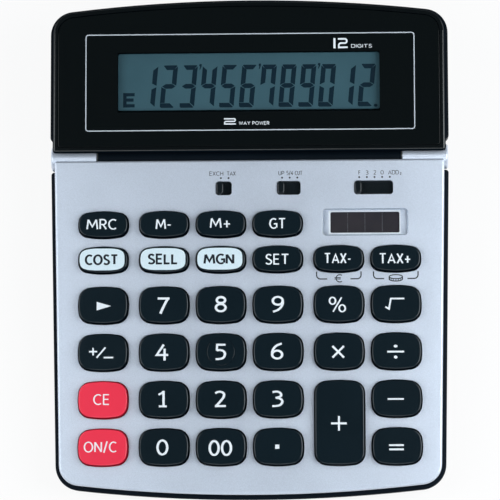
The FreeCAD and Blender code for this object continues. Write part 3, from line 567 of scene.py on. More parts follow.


# Key caps: 33 thin-walled plastic caps, two of them red and the rest black, that are put in from below
# and rest on their domes. The mould leaves their tops smooth and their sides matt, and the sides are
# coloured darker than the tops as painted shade.
POLISHED_TURN = math.cos(math.radians(42))
key_black = moulded_plastic("key_black", (0.0044, 0.0110, 0.0158), 0.15, 0.0004, 0.000002,
                            gloss=0.42, drift=0.06, patch=0.01)
key_red = moulded_plastic("key_red", (0.88, 0.040, 0.078), 0.18, 0.0004, 0.000002,
                          gloss=0.4, drift=0.03, patch=0.015)
# The side finishes of the caps are darker copies of the key colours, as painted shade on the sides.
side_black = moulded_plastic("side_black", (0.0020, 0.0050, 0.0085), 0.5, 0.0003, 0.000004, gloss=0.0)
side_red = moulded_plastic("side_red", (0.46, 0.016, 0.035), 0.5, 0.0003, 0.000004, gloss=0.0, drift=0.04)
key_names = sorted(name for name in frame["nodes"] if name.startswith("key_") and name != "key_mat")
red_keys = ("key_ce", "key_on")
dress(key_black, *key_names)
dress(key_red, *red_keys)
for name in key_names:
    cap = frame["nodes"][name].data
    cap.materials.append(side_red if name in red_keys else side_black)
    for face in cap.polygons:
        if face.normal.dot(deck_normal) < POLISHED_TURN:
            face.material_index = 1
key_boxes = {name: box_along(frame["nodes"][name].data, deck) for name in key_names}
key_places = {name: (low + high) / 2 for name, (low, high) in key_boxes.items()}


# Pale fields: on three of the keys the whole top is printed white, a little to one side, and carries
# its word in dark ink. The print runs on to the rounded edge of the cap.
FIELD_WIDTH = 16.6
FIELD_DEPTH = 8.1
FIELD_SHIFT = (-0.3, 0.12)
FIELD_SQUARENESS = 3.6
FIELD_STEPS = 96
FIELD_RINGS = 4
FIELD_RING = 0.25
FIELD_DROP = 1
FIELD_LIFT = 0.00002
FIELD_INK = 0.000015
field_keys = ("key_cost", "key_sell", "key_mgn")
field_white = printed_ink("field_white", (0.70, 0.82, 0.87), 0.42)
for name in field_keys:
    outline = []
    for i in range(FIELD_STEPS):
        turn = 2 * math.pi * i / FIELD_STEPS
        reach = abs(math.cos(turn)) ** FIELD_SQUARENESS + abs(math.sin(turn)) ** FIELD_SQUARENESS
        reach = reach ** (-1 / FIELD_SQUARENESS)
        x = FIELD_WIDTH / 2 * reach * math.cos(turn)
        v = FIELD_DEPTH / 2 * reach * math.sin(turn)
        outline.append((x, v))
    bpy.ops.object.select_all(action="DESELECT")
    bpy.ops.mesh.primitive_circle_add(vertices=FIELD_STEPS, fill_type="NGON")
    field = bpy.context.object
    field.name = "field_" + name
    for vertex, (x, v) in zip(field.data.vertices, outline):
        vertex.co = (x, v, 0)
    edit_whole()
    for _ in range(FIELD_RINGS):
        bpy.ops.mesh.inset(thickness=FIELD_RING)
    bpy.ops.mesh.select_all(action="SELECT")
    bpy.ops.mesh.normals_make_consistent(inside=False)
    bpy.ops.object.mode_set(mode="OBJECT")
    place = key_places[name]
    lay(field, place.x + FIELD_SHIFT[0], place.y + FIELD_SHIFT[1], KEY_TOP + FIELD_DROP, name + "_cap",
        field_white)
    wrap = field.modifiers.new("wrap", "SHRINKWRAP")
    wrap.target = frame["nodes"][name]
    wrap.wrap_method = "NEAREST_SURFACEPOINT"
    wrap.wrap_mode = "ABOVE_SURFACE"
    wrap.offset = FIELD_LIFT
    bpy.ops.object.modifier_apply(modifier="wrap")
    thick = field.modifiers.new("ink", "SOLIDIFY")
    thick.thickness = FIELD_INK
    bpy.ops.object.modifier_apply(modifier="ink")


# Key marks: digits, words and signs pad-printed on the cap tops in one pass, white on the black and
# red keys and dark on the pale fields. All are plain strokes, slightly thinner where they run level.
SMOOTH_STEPS = 6


def smooth(points):
    """Finer points on a smooth line through the given ones."""
    ends = [points[0]] + points + [points[-1]]
    fine = []
    for i in range(len(points) - 1):
        p0, p1, p2, p3 = [Vector(point) for point in ends[i:i + 4]]
        for step in range(SMOOTH_STEPS):
            t = step / SMOOTH_STEPS
            line = 2 * p1 + (p2 - p0) * t + (2 * p0 - 5 * p1 + 4 * p2 - p3) * t ** 2
            fine.append(tuple((line + (3 * p1 - p0 - 3 * p2 + p3) * t ** 3) / 2))
    return fine + [points[-1]]


def bowl(reach, low):
    """Line of a letter's bowl at unit height, from its foot up the stem and round to the level low."""
    middle = (1 + low) / 2
    turn = arc(reach - 0.27, middle, 0.27, (1 - low) / 2, 90, -90, 12)
    return [(0, 0.02), (0, 1)] + turn + [(0, low)]


halves = [arc(0.45, 0.5, 0.45, 0.5, start, start + 182, 20) for start in (0, 180)]
slender = [arc(0.3, 0.5, 0.3, 0.5, start, start + 182, 16) for start in (0, 180)]
letters = {
    "A": [[(0, 0), (0.42, 0.92), (0.84, 0)], [(0.16, 0.30), (0.68, 0.30)]],
    "C": [arc(0.45, 0.5, 0.45, 0.5, 52, 308, 24)],
    "D": [bowl(0.74, 0)],
    "E": [[(0.56, 1), (0, 1), (0, 0), (0.56, 0)], [(0, 0.52), (0.5, 0.52)]],
    "F": [[(0.54, 1), (0, 1), (0, 0)], [(0, 0.50), (0.48, 0.50)]],
    "G": [arc(0.45, 0.5, 0.45, 0.5, 52, 305, 24), [(0.46, 0.46), (0.80, 0.46), (0.80, 0.08)]],
    "H": [[(0, 0), (0, 1)], [(0.68, 0), (0.68, 1)], [(0, 0.52), (0.68, 0.52)]],
    "I": [[(0, 0), (0, 1)]],
    "L": [[(0, 1), (0, 0), (0.52, 0)]],
    "M": [[(0, 0), (0.12, 1)], [(1.06, 0), (0.94, 1)], [(0.13, 1), (0.53, 0.24), (0.93, 1)]],
    "N": [[(0, 0), (0, 1)], [(0.70, 0), (0.70, 1)], [(0.03, 0.98), (0.67, 0.02)]],
    "O": halves,
    "P": [bowl(0.58, 0.46)],
    "R": [bowl(0.58, 0.48), [(0.30, 0.46), (0.62, 0)]],
    "S": [smooth([(0.57, 0.88), (0.40, 0.99), (0.18, 0.97), (0.06, 0.80), (0.12, 0.62), (0.33, 0.50),
                  (0.54, 0.37), (0.60, 0.19), (0.44, 0.02), (0.18, 0.01), (0.01, 0.11)])],
    "T": [[(0, 1), (0.74, 1)], [(0.37, 1), (0.37, 0)]],
    "U": [[(0, 1)] + arc(0.32, 0.32, 0.32, 0.32, 180, 360, 14) + [(0.64, 1)]],
    "W": [[(0, 1), (0.26, 0.06), (0.52, 0.90), (0.78, 0.06), (1.04, 1)]],
    "X": [[(0, 0), (0.66, 1)], [(0, 1), (0.66, 0)]],
    "Y": [[(0, 1), (0.37, 0.48), (0.74, 1)], [(0.37, 0.48), (0.37, 0)]],
    "0": slender,
    "2": [smooth([(0.02, 0.84), (0.20, 1), (0.42, 0.97), (0.52, 0.76), (0.40, 0.48), (0.02, 0.02)]),
          [(0, 0), (0.56, 0)]],
    "3": [smooth([(0.02, 0.96), (0.30, 0.99), (0.48, 0.78), (0.36, 0.57), (0.14, 0.53)]),
          smooth([(0.18, 0.53), (0.44, 0.44), (0.52, 0.24), (0.36, 0.03), (0, 0.03)])],
    "4": [[(0.42, 1), (0, 0.30), (0.60, 0.30)], [(0.42, 0.62), (0.42, 0)]],
    "5": [[(0.50, 1), (0.08, 1), (0.06, 0.56)],
          smooth([(0.05, 0.56), (0.30, 0.60), (0.52, 0.38), (0.40, 0.08), (0, 0.01)])],
    "/": [[(0, -0.08), (0.36, 1.08)]],
    "-": [[(0, 0.40), (0.34, 0.40)]],
    "+": [[(0, 0.40), (0.64, 0.40)], [(0.32, 0.76), (0.32, 0.04)]],
}


WORD_SPACE = 0.45


def lettering(words, height, width, weight, slim=0.8, gap=0.24):
    """Outlines of words as strokes, filling the given height and width about the origin."""
    lines = []
    reach = 0
    for letter in words:
        if letter == " ":
            reach += WORD_SPACE
            continue
        shape = letters[letter]
        lines += [[(reach + x, v) for x, v in line] for line in shape]
        reach += max(x for line in shape for x, v in line) + gap
    across = (width - weight) / (reach - gap)
    up = height - weight * slim
    placed = [[(x * across - (width - weight) / 2, (v - 0.5) * up) for x, v in line] for line in lines]
    return [pen(line, weight, slim) for line in placed]


WORD_HEIGHT = 4.0
WORD_STROKE = 0.60
DARK_STROKE = 0.84
RED_STROKE = 0.54
WORD_SLIM = 0.8
WORD_GAP = 0.28
FIELD_TOP = 0.02
key_words = {
    "key_mrc": ("MRC", -0.5, 0, 11.3), "key_m_minus": ("M-", -0.1, -0.05, 5.9),
    "key_m_plus": ("M+", -0.1, 0.2, 7.8), "key_gt": ("GT", 0.05, -0.1, 6.2),
    "key_cost": ("COST", -0.45, 0, 12.5), "key_sell": ("SELL", -0.35, 0.15, 11.4),
    "key_mgn": ("MGN", -0.65, 0, 11.4), "key_set": ("SET", -0.15, -0.2, 8.9),
    "key_tax_minus": ("TAX-", -0.4, 0, 10.1), "key_tax_plus": ("TAX+", -0.3, -0.2, 11.8),
    "key_ce": ("CE", -0.4, 0.1, 6.1), "key_on": ("ON/C", -0.8, 0.15, 12.2),
}
dark_ink = printed_ink("dark_ink", (0.006, 0.011, 0.018), 0.5, 0.2)
pink_ink = printed_ink("pink_ink", (0.92, 0.83, 0.85))
for name, (words, shift_x, shift_v, width) in key_words.items():
    weight, level, ink, slot = WORD_STROKE, KEY_TOP, white_ink, "white_ink"
    if name in field_keys:
        weight, level, ink, slot = DARK_STROKE, KEY_TOP + FIELD_TOP, dark_ink, "dark_ink"
    elif name in red_keys:
        weight, ink = RED_STROKE, pink_ink
    mark = flat_prints("mark_" + name, lettering(words, WORD_HEIGHT, width, weight, WORD_SLIM, WORD_GAP))
    place = key_places[name]
    lay(mark, place.x + shift_x, place.y + shift_v, level, name + "_cap", ink)


def loop(x, v, radius_x, radius_v, width, slim=1.0):
    """A closed round stroke in two halves."""
    return [pen(arc(x, v, radius_x, radius_v, start, start + 182, 26), width, slim) for start in (0, 180)]


DIGIT_STROKE = 0.94
DIGIT_SLIM = 0.82
SIGN_STROKE = 0.78
FINE_STROKE = 0.62
SIGN_SIZE = 0.96


def bars(width, *lines):
    """Open strokes of one width."""
    return [pen(line, width) for line in lines]


def digit_loop(x, v, radius_x, radius_v):
    """A closed round stroke of a digit."""
    return loop(x, v, radius_x, radius_v, DIGIT_STROKE, DIGIT_SLIM)


def digit_curve(*points):
    """A smooth open stroke of a digit."""
    return pen(smooth(list(points)), DIGIT_STROKE, DIGIT_SLIM)


key_signs = {
    "key_0": (-0.5, -0.1, digit_loop(0, 0, 1.85, 2.65)),
    "key_00": (-0.25, -0.4, digit_loop(-2.35, 0, 1.7, 2.65) + digit_loop(2.35, 0, 1.7, 2.65)),
    "key_1": (-0.5, 0.15, [
        pen([(-1.5, 1.7), (-0.5, 2.15), (0.45, 2.95)], 0.75), pen([(0.45, 3.12), (0.45, -2.8)], 0.92),
        pen([(-1.35, -2.75), (1.7, -2.75)], 0.75),
    ]),
    "key_2": (-0.25, 0.15, [
        digit_curve((-1.9, 2.1), (-0.9, 2.65), (0.4, 2.65), (1.4, 1.95), (1.35, 0.9), (0.6, -0.3),
                    (-1.5, -2.6)),
        pen([(-2.05, -2.75), (2.15, -2.75)], 0.8),
    ]),
    "key_3": (-0.2, 0.1, [
        digit_curve((-1.95, 2.5), (-0.6, 2.72), (0.7, 2.45), (1.35, 1.65), (0.95, 0.8), (-0.8, 0.3)),
        digit_curve((-0.5, 0.3), (0.7, 0.1), (1.65, -0.6), (1.65, -1.6), (0.8, -2.45), (-0.6, -2.78),
                    (-2.05, -2.8)),
    ]),
    "key_4": (-0.7, -0.1, [
        pen([(0.75, 2.95), (-1.95, -1.0), (2.45, -1.0)], 0.85), pen([(1.05, 1.4), (1.05, -3.15)], 0.92),
    ]),
    "key_5": (-0.1, -0.1, [
        pen([(1.9, 2.75), (-1.7, 2.75)], 0.8), pen([(-1.3, 2.75), (-1.42, 0.5)], 0.82),
        digit_curve((-1.45, 0.6), (-0.2, 0.75), (1.1, 0.35), (1.7, -0.7), (1.3, -1.9), (0.2, -2.6),
                    (-1.9, -2.75)),
    ]),
    "key_6": (-0.3, 0, digit_loop(0, -1.2, 1.9, 1.5) + [
        digit_curve((-1.9, -1.2), (-1.8, 0.1), (-1.1, 1.4), (0.1, 2.4), (1.75, 3.0)),
    ]),
    "key_7": (0, -0.3, [
        pen([(-2.3, 2.72), (2.2, 2.72)], 0.85),
        pen(smooth([(1.7, 2.75), (0.75, 1.2), (-0.35, -1.0), (-1.3, -3.1)]), 0.95),
    ]),
    "key_8": (0, 0.1, loop(0.1, 1.55, 1.6, 1.15, 0.88) + digit_loop(0, -1.35, 1.85, 1.4)),
    "key_9": (0, 0, digit_loop(0, 1.25, 1.9, 1.5) + [
        digit_curve((1.9, 1.25), (1.85, 0.1), (1.2, -1.25), (0, -2.25), (-1.85, -2.95)),
    ]),
    "key_shift": (0.45, -0.35, [[(-2.8, 1.65), (-2.8, -1.65), (2.75, 0)]]),
    "key_percent": (-0.6, -0.3, loop(-1.85, 1.45, 1.15, 1.3, 0.64, 0.85)
                    + loop(1.85, -1.45, 1.15, 1.3, 0.64, 0.85) + bars(0.56, [(-1.65, -2.75), (1.65, 2.75)])),
    "key_root": (-0.55, -0.1, bars(FINE_STROKE, [(-3.6, -1.2), (-2.2, -2.0), (-1.45, 1.95), (3.7, 1.95)])),
    "key_sign": (-0.6, 0, bars(FINE_STROKE, [(-4.6, 0.3), (-1.5, 0.3)], [(-3.05, 1.75), (-3.05, -1.15)],
                               [(-1.7, -2.05), (1.7, 1.9)], [(1.0, -2.0), (4.7, -2.0)])),
    "key_times": (-0.4, -0.25, bars(SIGN_STROKE, [(-2.2, -2.2), (2.2, 2.2)], [(-2.2, 2.2), (2.2, -2.2)])),
    "key_divide": (-0.35, -0.3, bars(0.68, [(-3.2, 0), (3.2, 0)])
                   + [arc(0, v, 0.68, 0.58, 0, 345, 23) for v in (2.1, -2.1)]),
    "key_minus": (-0.45, -0.2, bars(0.64, [(-3.1, 0), (3.1, 0)])),
    "key_plus": (-0.3, -0.3, bars(SIGN_STROKE, [(-3.0, 0), (3.0, 0)], [(0, -2.8), (0, 2.8)])),
    "key_point": (-0.4, 0, bars(1.6, [(-0.8, 0), (0.8, 0)])),
    "key_equals": (-0.35, -0.4, bars(0.7, [(-2.8, 0.8), (2.8, 0.8)], [(-2.8, -0.8), (2.8, -0.8)])),
}
for name, (shift_x, shift_v, outlines) in key_signs.items():
    place = key_places[name]
    sized = [[(x * SIGN_SIZE, v * SIGN_SIZE) for x, v in outline] for outline in outlines]
    level = key_boxes[name][1].z if name == "key_5" else KEY_TOP
    lay(flat_prints("sign_" + name, sized), place.x + shift_x, place.y + shift_v, level, name + "_cap",
        white_ink)


# Deck prints: small grey names and dots beside the slide switches, and under the two tax keys brackets
# with a money sign and a coin. They are pad-printed on the silver paint.
LABEL_HEIGHT = 1.6
LABEL_STROKE = 0.21
LABEL_V = -6.5
SMALL_TWO_X = 56.1
SMALL_TWO_V = -6.95
SMALL_TWO = (0.95, 0.7, 0.2)
DOT_V = -8.2
DOT_RADIUS = 0.36
DOT_SHIFT = 0.38
label_grey = printed_ink("label_grey", (0.012, 0.018, 0.028))
switch_labels = (
    ("EXCH", -12.17, 5.2), ("TAX", -6.64, 3.3), ("UP", 11.96, 2.2), ("5/4", 15.11, 2.6), ("CUT", 18.36, 2.8),
    ("F", 40.92, 0.8), ("3", 43.70, 1.05), ("2", 46.60, 1.05), ("0", 49.27, 1.2), ("ADD", 53.45, 4.0),
)
for words, x, width in switch_labels:
    strokes = lettering(words, LABEL_HEIGHT, width, LABEL_STROKE)
    label = flat_prints("label_" + words.replace("/", "_"), strokes)
    lay(label, x, LABEL_V, 0, "body", label_grey)
small_two = flat_prints("label_ADD_two", lettering("2", *SMALL_TWO))
lay(small_two, SMALL_TWO_X, SMALL_TWO_V, 0, "body", label_grey)
dots = []
slider_steps = {"slider_mode_slide": 1, "slider_round_slide": 2, "slider_decimal_slide": 4}
for joint in frame["joints"]:
    if joint["name"] in slider_steps:
        low, high = box_along(frame["nodes"][joint["name"].replace("_slide", "")].data, deck)
        steps = slider_steps[joint["name"]]
        pitch = joint["range_m"][1] * 1000 / steps
        first = (low.x + high.x) / 2 + DOT_SHIFT
        dots += [arc(first + i * pitch, 0, DOT_RADIUS, DOT_RADIUS, 0, 330, 11) for i in range(steps + 1)]
lay(flat_prints("switch_dots", dots), 0, DOT_V, 0, "body", label_grey)

BRACKET_STROKE = 0.42
BRACKET_HALF = 8.2
BRACKET_ARM = 3.9
BRACKET_V = -46.0
BRACKET_HEIGHT = 2.7
BRACKET_BEND = 1.4
COIN_WIDTH = 2.45
COIN_DEPTH = 0.75
COIN_THICKNESS = 0.85
COIN_LIFT = 0.25
COIN_RIDGES = 8
COIN_LINE = 0.36
COIN_FOOT_LINE = 0.40
COIN_RIDGE_LINE = 0.22
MONEY_LINE = 0.36
MONEY_BAR = 0.3
for name in ("key_tax_minus", "key_tax_plus"):
    strokes = []
    for side in (-1, 1):
        bend = arc(BRACKET_HALF - BRACKET_BEND, BRACKET_BEND, BRACKET_BEND, BRACKET_BEND, 0, -90, 8)
        line = [(BRACKET_HALF, BRACKET_HEIGHT)] + bend + [(BRACKET_HALF - BRACKET_ARM, 0)]
        strokes.append(pen([(side * x, v) for x, v in line], BRACKET_STROKE))
    if name == "key_tax_minus":
        strokes += bars(MONEY_LINE, arc(0.35, 0.2, 1.35, 1.35, 55, 305, 24))
        strokes += bars(MONEY_BAR, [(-1.6, 0.45), (0.7, 0.45)], [(-1.6, -0.05), (0.7, -0.05)])
    else:
        top = COIN_THICKNESS / 2 + COIN_LIFT
        foot = top - COIN_THICKNESS
        rounds = [arc(0, top, COIN_WIDTH, COIN_DEPTH, start, start + 180, 18) for start in (0, 180)]
        strokes += bars(COIN_LINE, *rounds)
        strokes += bars(COIN_FOOT_LINE, arc(0, foot, COIN_WIDTH, COIN_DEPTH, 180, 360, 18))
        strokes += bars(COIN_LINE, *[[(x, top), (x, foot)] for x in (-COIN_WIDTH, COIN_WIDTH)])
        for i in range(1, COIN_RIDGES):
            turn = math.radians(180 + i * 180 / COIN_RIDGES)
            x = COIN_WIDTH * math.cos(turn)
            v = COIN_DEPTH * math.sin(turn)
            strokes.append(pen([(x, top + v), (x, foot + v)], COIN_RIDGE_LINE))
    prints = flat_prints("bracket_" + name, strokes)
    lay(prints, key_places[name].x, BRACKET_V, 0, "body", dark_ink)


# Display head: the rounded rear cover with the hinge barrel and the bezel above it, two black mouldings
# screwed together from behind. The cover is satin, and the bezel has a polished rim and a matt floor.
FLOOR_REACH = 0.1
head_black = moulded_plastic("head_black", (0.0030, 0.0058, 0.0095), 0.42, 0.0005, 0.000012,
                             gloss=0.04, drift=0.1, patch=0.03)
bezel_black = moulded_plastic("bezel_black", (0.0012, 0.0028, 0.0034), 0.15, 0.004, 0.000001,
                              gloss=0.6, drift=0.06, patch=0.01)
dress(head_black, "display_rear_cover")
dress(bezel_black, "display_bezel")
bezel = frame["nodes"]["display_bezel"].data
bezel.materials.append(side_black)
bezel.materials.append(printed_ink("panel_ink", (0.0026, 0.0046, 0.0056), 0.6, gloss=0.0))
under_window = box_along(frame["nodes"]["display_window"].data, deck)[0].z
for face in bezel.polygons:
    if face.normal.dot(deck_normal) < POLISHED_TURN:
        face.material_index = 1
    elif (deck.inverted() @ face.center).z < under_window + FLOOR_REACH:
        face.material_index = 2


# Display: two sheets of glass with a grey-green polariser, held against the back of the bezel. The
# figures are dark electrode segments that lean a little to the right.
DIGIT_PITCH = 7.355
FIRST_DIGIT = -40.6
DIGIT_FOOT = 18.15
CELL_WIDTH = 5.5
CELL_HEIGHT = 16.0
SEGMENT = 1.75
DIGIT_LEAN = math.radians(5.35)
SHOWN = "123456789012"
TICKED = (2, 5, 8)
POINT_X = 47.055
POINT_V = 0.35
ERROR_X = -44.3
ERROR_V = 21.15


def segments():
    """Outlines of the seven segments of one upright digit, from its lower left corner."""
    w, h, t = CELL_WIDTH, CELL_HEIGHT, SEGMENT
    mid = 0.506 * h
    right_upper = [(w, h - 0.45), (w, mid + 0.25), (w - t, mid + 1.1), (w - t, h - t - 0.15)]
    right_lower = [(w, mid - 0.25), (w, 0.5), (w - t, t + 0.15), (w - t, mid - 1.1)]
    left_upper = [(w - x, v) for x, v in right_upper]
    left_lower = [(0, mid - 0.25), (t, mid - 1.1), (t, t + 0.12), (0, t + 0.12)]
    top = [(0.5, h), (w - 0.5, h), (w - 0.2, h - 0.2),
           (w - t + 0.3, h - t), (t - 0.3, h - t), (0.2, h - 0.2)]
    middle = [(0.25, mid), (t - 0.2, mid + t / 2), (w - t + 0.2, mid + t / 2),
              (w - 0.25, mid), (w - t + 0.2, mid - t / 2), (t - 0.2, mid - t / 2)]
    bottom = [(0, t), (w - t - 0.1, t), (w - 0.25, 0.25), (w - 0.6, 0), (0.6, 0), (0.1, 0.45)]
    return {"a": top, "b": right_upper, "c": right_lower, "d": bottom,
            "e": left_lower, "f": left_upper, "g": middle}


lit = {"0": "abcdef", "1": "bc", "2": "abged", "3": "abgcd", "4": "fgbc", "5": "afgcd", "6": "afgedc",
       "7": "fabc", "8": "abcdefg", "9": "abcdfg"}
lcd_low, lcd_high = box_along(frame["nodes"]["lcd_panel"].data, deck)
glass_tone = ((0.058, 0.113, 0.134), (0.068, 0.129, 0.152), 0.03)
dress(uneven_finish("display_grey", glass_tone, (0.08, 0.11, 0.004)), "lcd_panel")
display_dark = printed_ink("display_dark", (0.0098, 0.0228, 0.0345), 0.15)


def lean(outline, x):
    """An outline of a digit, tilted and moved along the display."""
    return [(x + across + up * math.tan(DIGIT_LEAN), up) for across, up in outline]


figures = []
shapes = segments()
tick = [(6.1, 16.4), (6.9, 16.4), (6.95, 15.6), (6.45, 14.3), (6.2, 14.3), (6.35, 15.5), (6.0, 15.7)]
for i, digit in enumerate(SHOWN):
    x = FIRST_DIGIT + i * DIGIT_PITCH
    figures += [lean(shapes[segment], x) for segment in lit[digit]]
    if i in TICKED:
        figures.append(lean(tick, x))
figures.append(arc(POINT_X, POINT_V, 0.72, 0.55, 0, 340, 17))
figure_prints = flat_prints("display_figures", figures)
lay(figure_prints, 0, DIGIT_FOOT, lcd_high.z, "display_head", display_dark)
error_mark = flat_prints("display_error_mark", lettering("E", 5.4, 5.0, 1.35, 0.9))
lay(error_mark, ERROR_X, ERROR_V, lcd_high.z, "display_head", display_dark)


# Display window: one polished clear panel over the whole face, dropped into the bezel and backed with
# black ink round the display. A thin pale frame and two small marks are printed on it.
FRAME_X = 0.5
FRAME_HALF_WIDTH = 61.1
FRAME_LOW = 9.1
FRAME_HIGH = 45.5
FRAME_LINE = 0.36
FRAME_CORNER = 1.1
OPENING_HALF_WIDTH = 48.6
OPENING_HALF_DEPTH = 11.2
OPENING_SHIFT = -0.45


def printed_window(name):
    """Polished black ink behind clear plastic, with a clear opening over the display."""
    material, ink, add, join = new_finish(name)
    ink.inputs["Base Color"].default_value = (0.0022, 0.0039, 0.0043, 1)
    join(vary(add, join, lumps(add, join, POLISH_SIZE), *POLISH), ink.inputs["Roughness"])
    clear = add("ShaderNodeBsdfTransparent")
    clear.inputs["Color"].default_value = (0.93, 0.96, 0.97, 1)
    place = add("ShaderNodeTexCoord")
    along_deck = add("ShaderNodeMapping")
    along_deck.vector_type = "TEXTURE"
    along_deck.inputs["Location"].default_value = hinge_place
    along_deck.inputs["Rotation"].default_value = (deck_slope, 0, 0)
    along_deck.inputs["Scale"].default_value = (MILLIMETRE, MILLIMETRE, MILLIMETRE)
    join(place.outputs["Object"], along_deck.inputs["Vector"])
    spot = add("ShaderNodeSeparateXYZ")
    join(along_deck.outputs["Vector"], spot.inputs["Vector"])
    opening_v = (lcd_low.y + lcd_high.y) / 2 + OPENING_SHIFT
    within_width = combine(add, join, "COMPARE", spot.outputs["X"], 0, OPENING_HALF_WIDTH)
    within_depth = combine(add, join, "COMPARE", spot.outputs["Y"], opening_v, OPENING_HALF_DEPTH)
    inside = combine(add, join, "MULTIPLY", within_width, within_depth)
    mix_by(inside, ink.outputs["BSDF"], clear.outputs["BSDF"], material, add, join)
    return material


dress(printed_window("window_clear"), "display_window")
window = frame["nodes"]["display_window"].data
window_edge = moulded_plastic("window_edge", (0.0020, 0.0030, 0.0040), 0.35, 0.001, 0.000002, gloss=0.2)
window.materials.append(window_edge)
for face in window.polygons:
    if abs(face.normal.dot(deck_normal)) < FLAT_TURN:
        face.material_index = 1
window_top = box_along(window, deck)[1].z
frame_ink = printed_ink("frame_ink", (0.58, 0.62, 0.67), 0.4)
border = plate("display_frame_line", 2 * FRAME_HALF_WIDTH, FRAME_HIGH - FRAME_LOW)
bpy.ops.mesh.bevel(offset=FRAME_CORNER, segments=6, affect="VERTICES")
bpy.ops.mesh.select_all(action="SELECT")
bpy.ops.mesh.inset(thickness=FRAME_LINE)
bpy.ops.mesh.delete(type="FACE")
raise_ink()
lay(border, FRAME_X, (FRAME_LOW + FRAME_HIGH) / 2, window_top, "display_head", frame_ink)


def wide_two(width, height, stroke):
    """A broad square-shouldered figure two as two strokes, centred on the origin."""
    half = stroke / 2
    shoulder = (height - stroke) / 4
    right = width / 2 - half - shoulder
    top = height / 2 - half
    upper = [(-width / 2, top), (right, top)]
    upper += arc(right, shoulder, shoulder, shoulder, 90, -90, 12)[1:]
    upper += [(-width / 2 + half + shoulder, 0)]
    upper += arc(-width / 2 + half + shoulder, -shoulder, shoulder, shoulder, 90, 180, 6)[1:]
    upper += [(-width / 2 + half, -height / 2)]
    return [pen(upper, stroke), pen([(-width / 2, -top), (width / 2, -top)], stroke)]


twelve = [pen([(-2.15, -1.9), (-2.15, 1.9)], 0.8)]
twelve += [[(x + 0.95, v) for x, v in outline] for outline in wide_two(3.6, 3.8, 0.62)]
panel_marks = (
    ("mark_twelve", twelve, 34.1, 41.5),
    ("mark_digits", lettering("DIGITS", 1.35, 7.8, 0.22), 42.0, 40.4),
    ("mark_two", wide_two(4.4, 2.4, 0.46), -6.9, 12.5),
    ("mark_way_power", lettering("WAY POWER", 1.35, 11.3, 0.21, 0.9, 0.3), 2.05, 11.8),
)
for name, outlines, x, v in panel_marks:
    lay(flat_prints(name, outlines), x, v, window_top, "display_head", white_ink)


# Studio: a plain white floor under soft boxes at both sides and in front, with a dim sky overhead so that
# the black panel stays dark. The camera looks down on the deck, a little from the front and the right.
CAMERA_LEAN = math.radians(6.06)
CAMERA_SIDE = math.radians(1.845)
CAMERA_ROLL = math.radians(-0.382)
CAMERA_AIM = (0.25, -35.07)
CAMERA_DISTANCE = 1042.3
CAMERA_LENS = 203.0
LAMP_COLOUR = (0.91, 0.965, 1.0)
LAMP_AIM = (0, 0, 0.02)
FLOOR_SIZE = 6
FLOOR_GLOW = 0.9
floor_white, floor_shader, add, join = new_finish("floor_white")
join(shade(add, join, lumps(add, join, 0.3), (0.90, 0.90, 0.90), (0.92, 0.92, 0.92)),
     floor_shader.inputs["Base Color"])
floor_shader.inputs["Roughness"].default_value = 0.9
floor_shader.inputs["Specular IOR Level"].default_value = 0.1
rays = add("ShaderNodeLightPath").outputs
seen = combine(add, join, "MAXIMUM", rays["Is Camera Ray"], rays["Is Glossy Ray"])
seen = combine(add, join, "MAXIMUM", seen, rays["Is Transmission Ray"])
share = combine(add, join, "MULTIPLY", seen, FLOOR_GLOW)
glow = add("ShaderNodeEmission")
mix_by(share, floor_shader.outputs["BSDF"], glow.outputs["Emission"], floor_white, add, join)
bpy.ops.object.select_all(action="DESELECT")
bpy.ops.mesh.primitive_plane_add(size=FLOOR_SIZE)
floor = bpy.context.object
floor.name = "floor"
floor.data.materials.append(floor_white)


def soft_box(name, place, width, height, power):
    """Rectangular soft light at a place, turned towards the calculator."""
    bpy.ops.object.select_all(action="DESELECT")
    bpy.ops.object.light_add(type="AREA", location=place)
    lamp = bpy.context.object
    lamp.name = name
    lamp.data.shape = "RECTANGLE"
    lamp.data.size = width
    lamp.data.size_y = height
    lamp.data.energy = power
    lamp.data.color = LAMP_COLOUR
    lamp.rotation_euler = (Vector(LAMP_AIM) - Vector(place)).to_track_quat("-Z", "Y").to_euler()


soft_box("box_right", (0.30, -0.06, 0.43), 0.32, 0.32, 1.56)
soft_box("box_left", (-0.30, -0.06, 0.43), 0.32, 0.32, 0.87)
soft_box("box_front", (0, -0.60, 0.75), 0.45, 0.25, 1.1)
soft_box("panel_right", (0.60, 0, 0.36), 0.9, 0.5, 1.26)
soft_box("panel_left", (-0.60, 0, 0.36), 0.9, 0.5, 0.94)

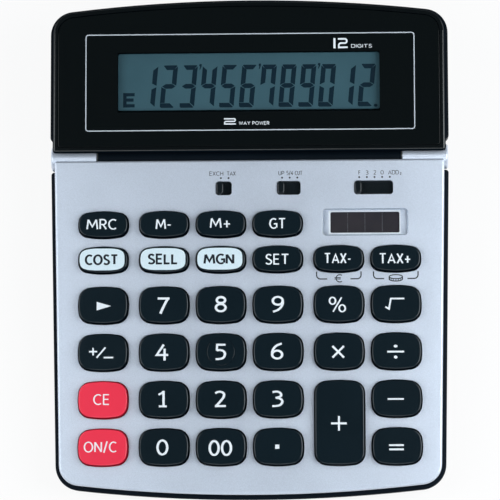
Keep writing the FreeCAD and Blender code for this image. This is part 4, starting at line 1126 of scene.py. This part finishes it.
world = bpy.data.worlds.new("studio")
bpy.context.scene.world = world
world.use_nodes = True
sky_add = world.node_tree.nodes.new
sky_join = world.node_tree.links.new
place = sky_add("ShaderNodeTexCoord")
parts = sky_add("ShaderNodeSeparateXYZ")
sky_join(place.outputs["Generated"], parts.inputs["Vector"])
sky = sky_add("ShaderNodeValToRGB")
sky.color_ramp.elements[0].position = 0.0
sky.color_ramp.elements[0].color = (0.28, 0.34, 0.40, 1)
sky.color_ramp.elements[1].position = 0.85
sky.color_ramp.elements[1].color = (0.05, 0.055, 0.06, 1)
sky_join(parts.outputs["Z"], sky.inputs["Fac"])
rays = sky_add("ShaderNodeLightPath").outputs
mirrored = combine(sky_add, sky_join, "MAXIMUM", rays["Is Glossy Ray"], rays["Is Transmission Ray"])
low_band = sky_add("ShaderNodeMapRange")
low_band.inputs["From Min"].default_value = 0.28
low_band.inputs["From Max"].default_value = 0.08
sky_join(parts.outputs["Z"], low_band.inputs["Value"])
wall = combine(sky_add, sky_join, "MULTIPLY", mirrored, low_band.outputs["Result"])
white_share = combine(sky_add, sky_join, "MAXIMUM", rays["Is Camera Ray"], wall)
backdrop = sky_add("ShaderNodeMix")
backdrop.data_type = "RGBA"
sky_join(white_share, backdrop.inputs["Factor"])
sky_join(sky.outputs["Color"], backdrop.inputs["A"])
backdrop.inputs["B"].default_value = (1, 1, 1, 1)
sky_join(backdrop.outputs["Result"], world.node_tree.nodes["Background"].inputs["Color"])

bpy.ops.object.camera_add()
camera = bpy.context.object
camera.data.lens = CAMERA_LENS
camera.data.clip_end = 20
lean_turn = deck_turn @ Matrix.Rotation(CAMERA_LEAN, 4, "X")
view_turn = lean_turn @ Matrix.Rotation(CAMERA_SIDE, 4, "Y") @ Matrix.Rotation(CAMERA_ROLL, 4, "Z")
aim = deck @ Vector((*CAMERA_AIM, 0))
camera.location = aim + view_turn @ Vector((0, 0, CAMERA_DISTANCE / 1000))
camera.rotation_euler = view_turn.to_euler()
bpy.context.scene.camera = camera
bpy.context.scene.view_settings.view_transform = "Standard"
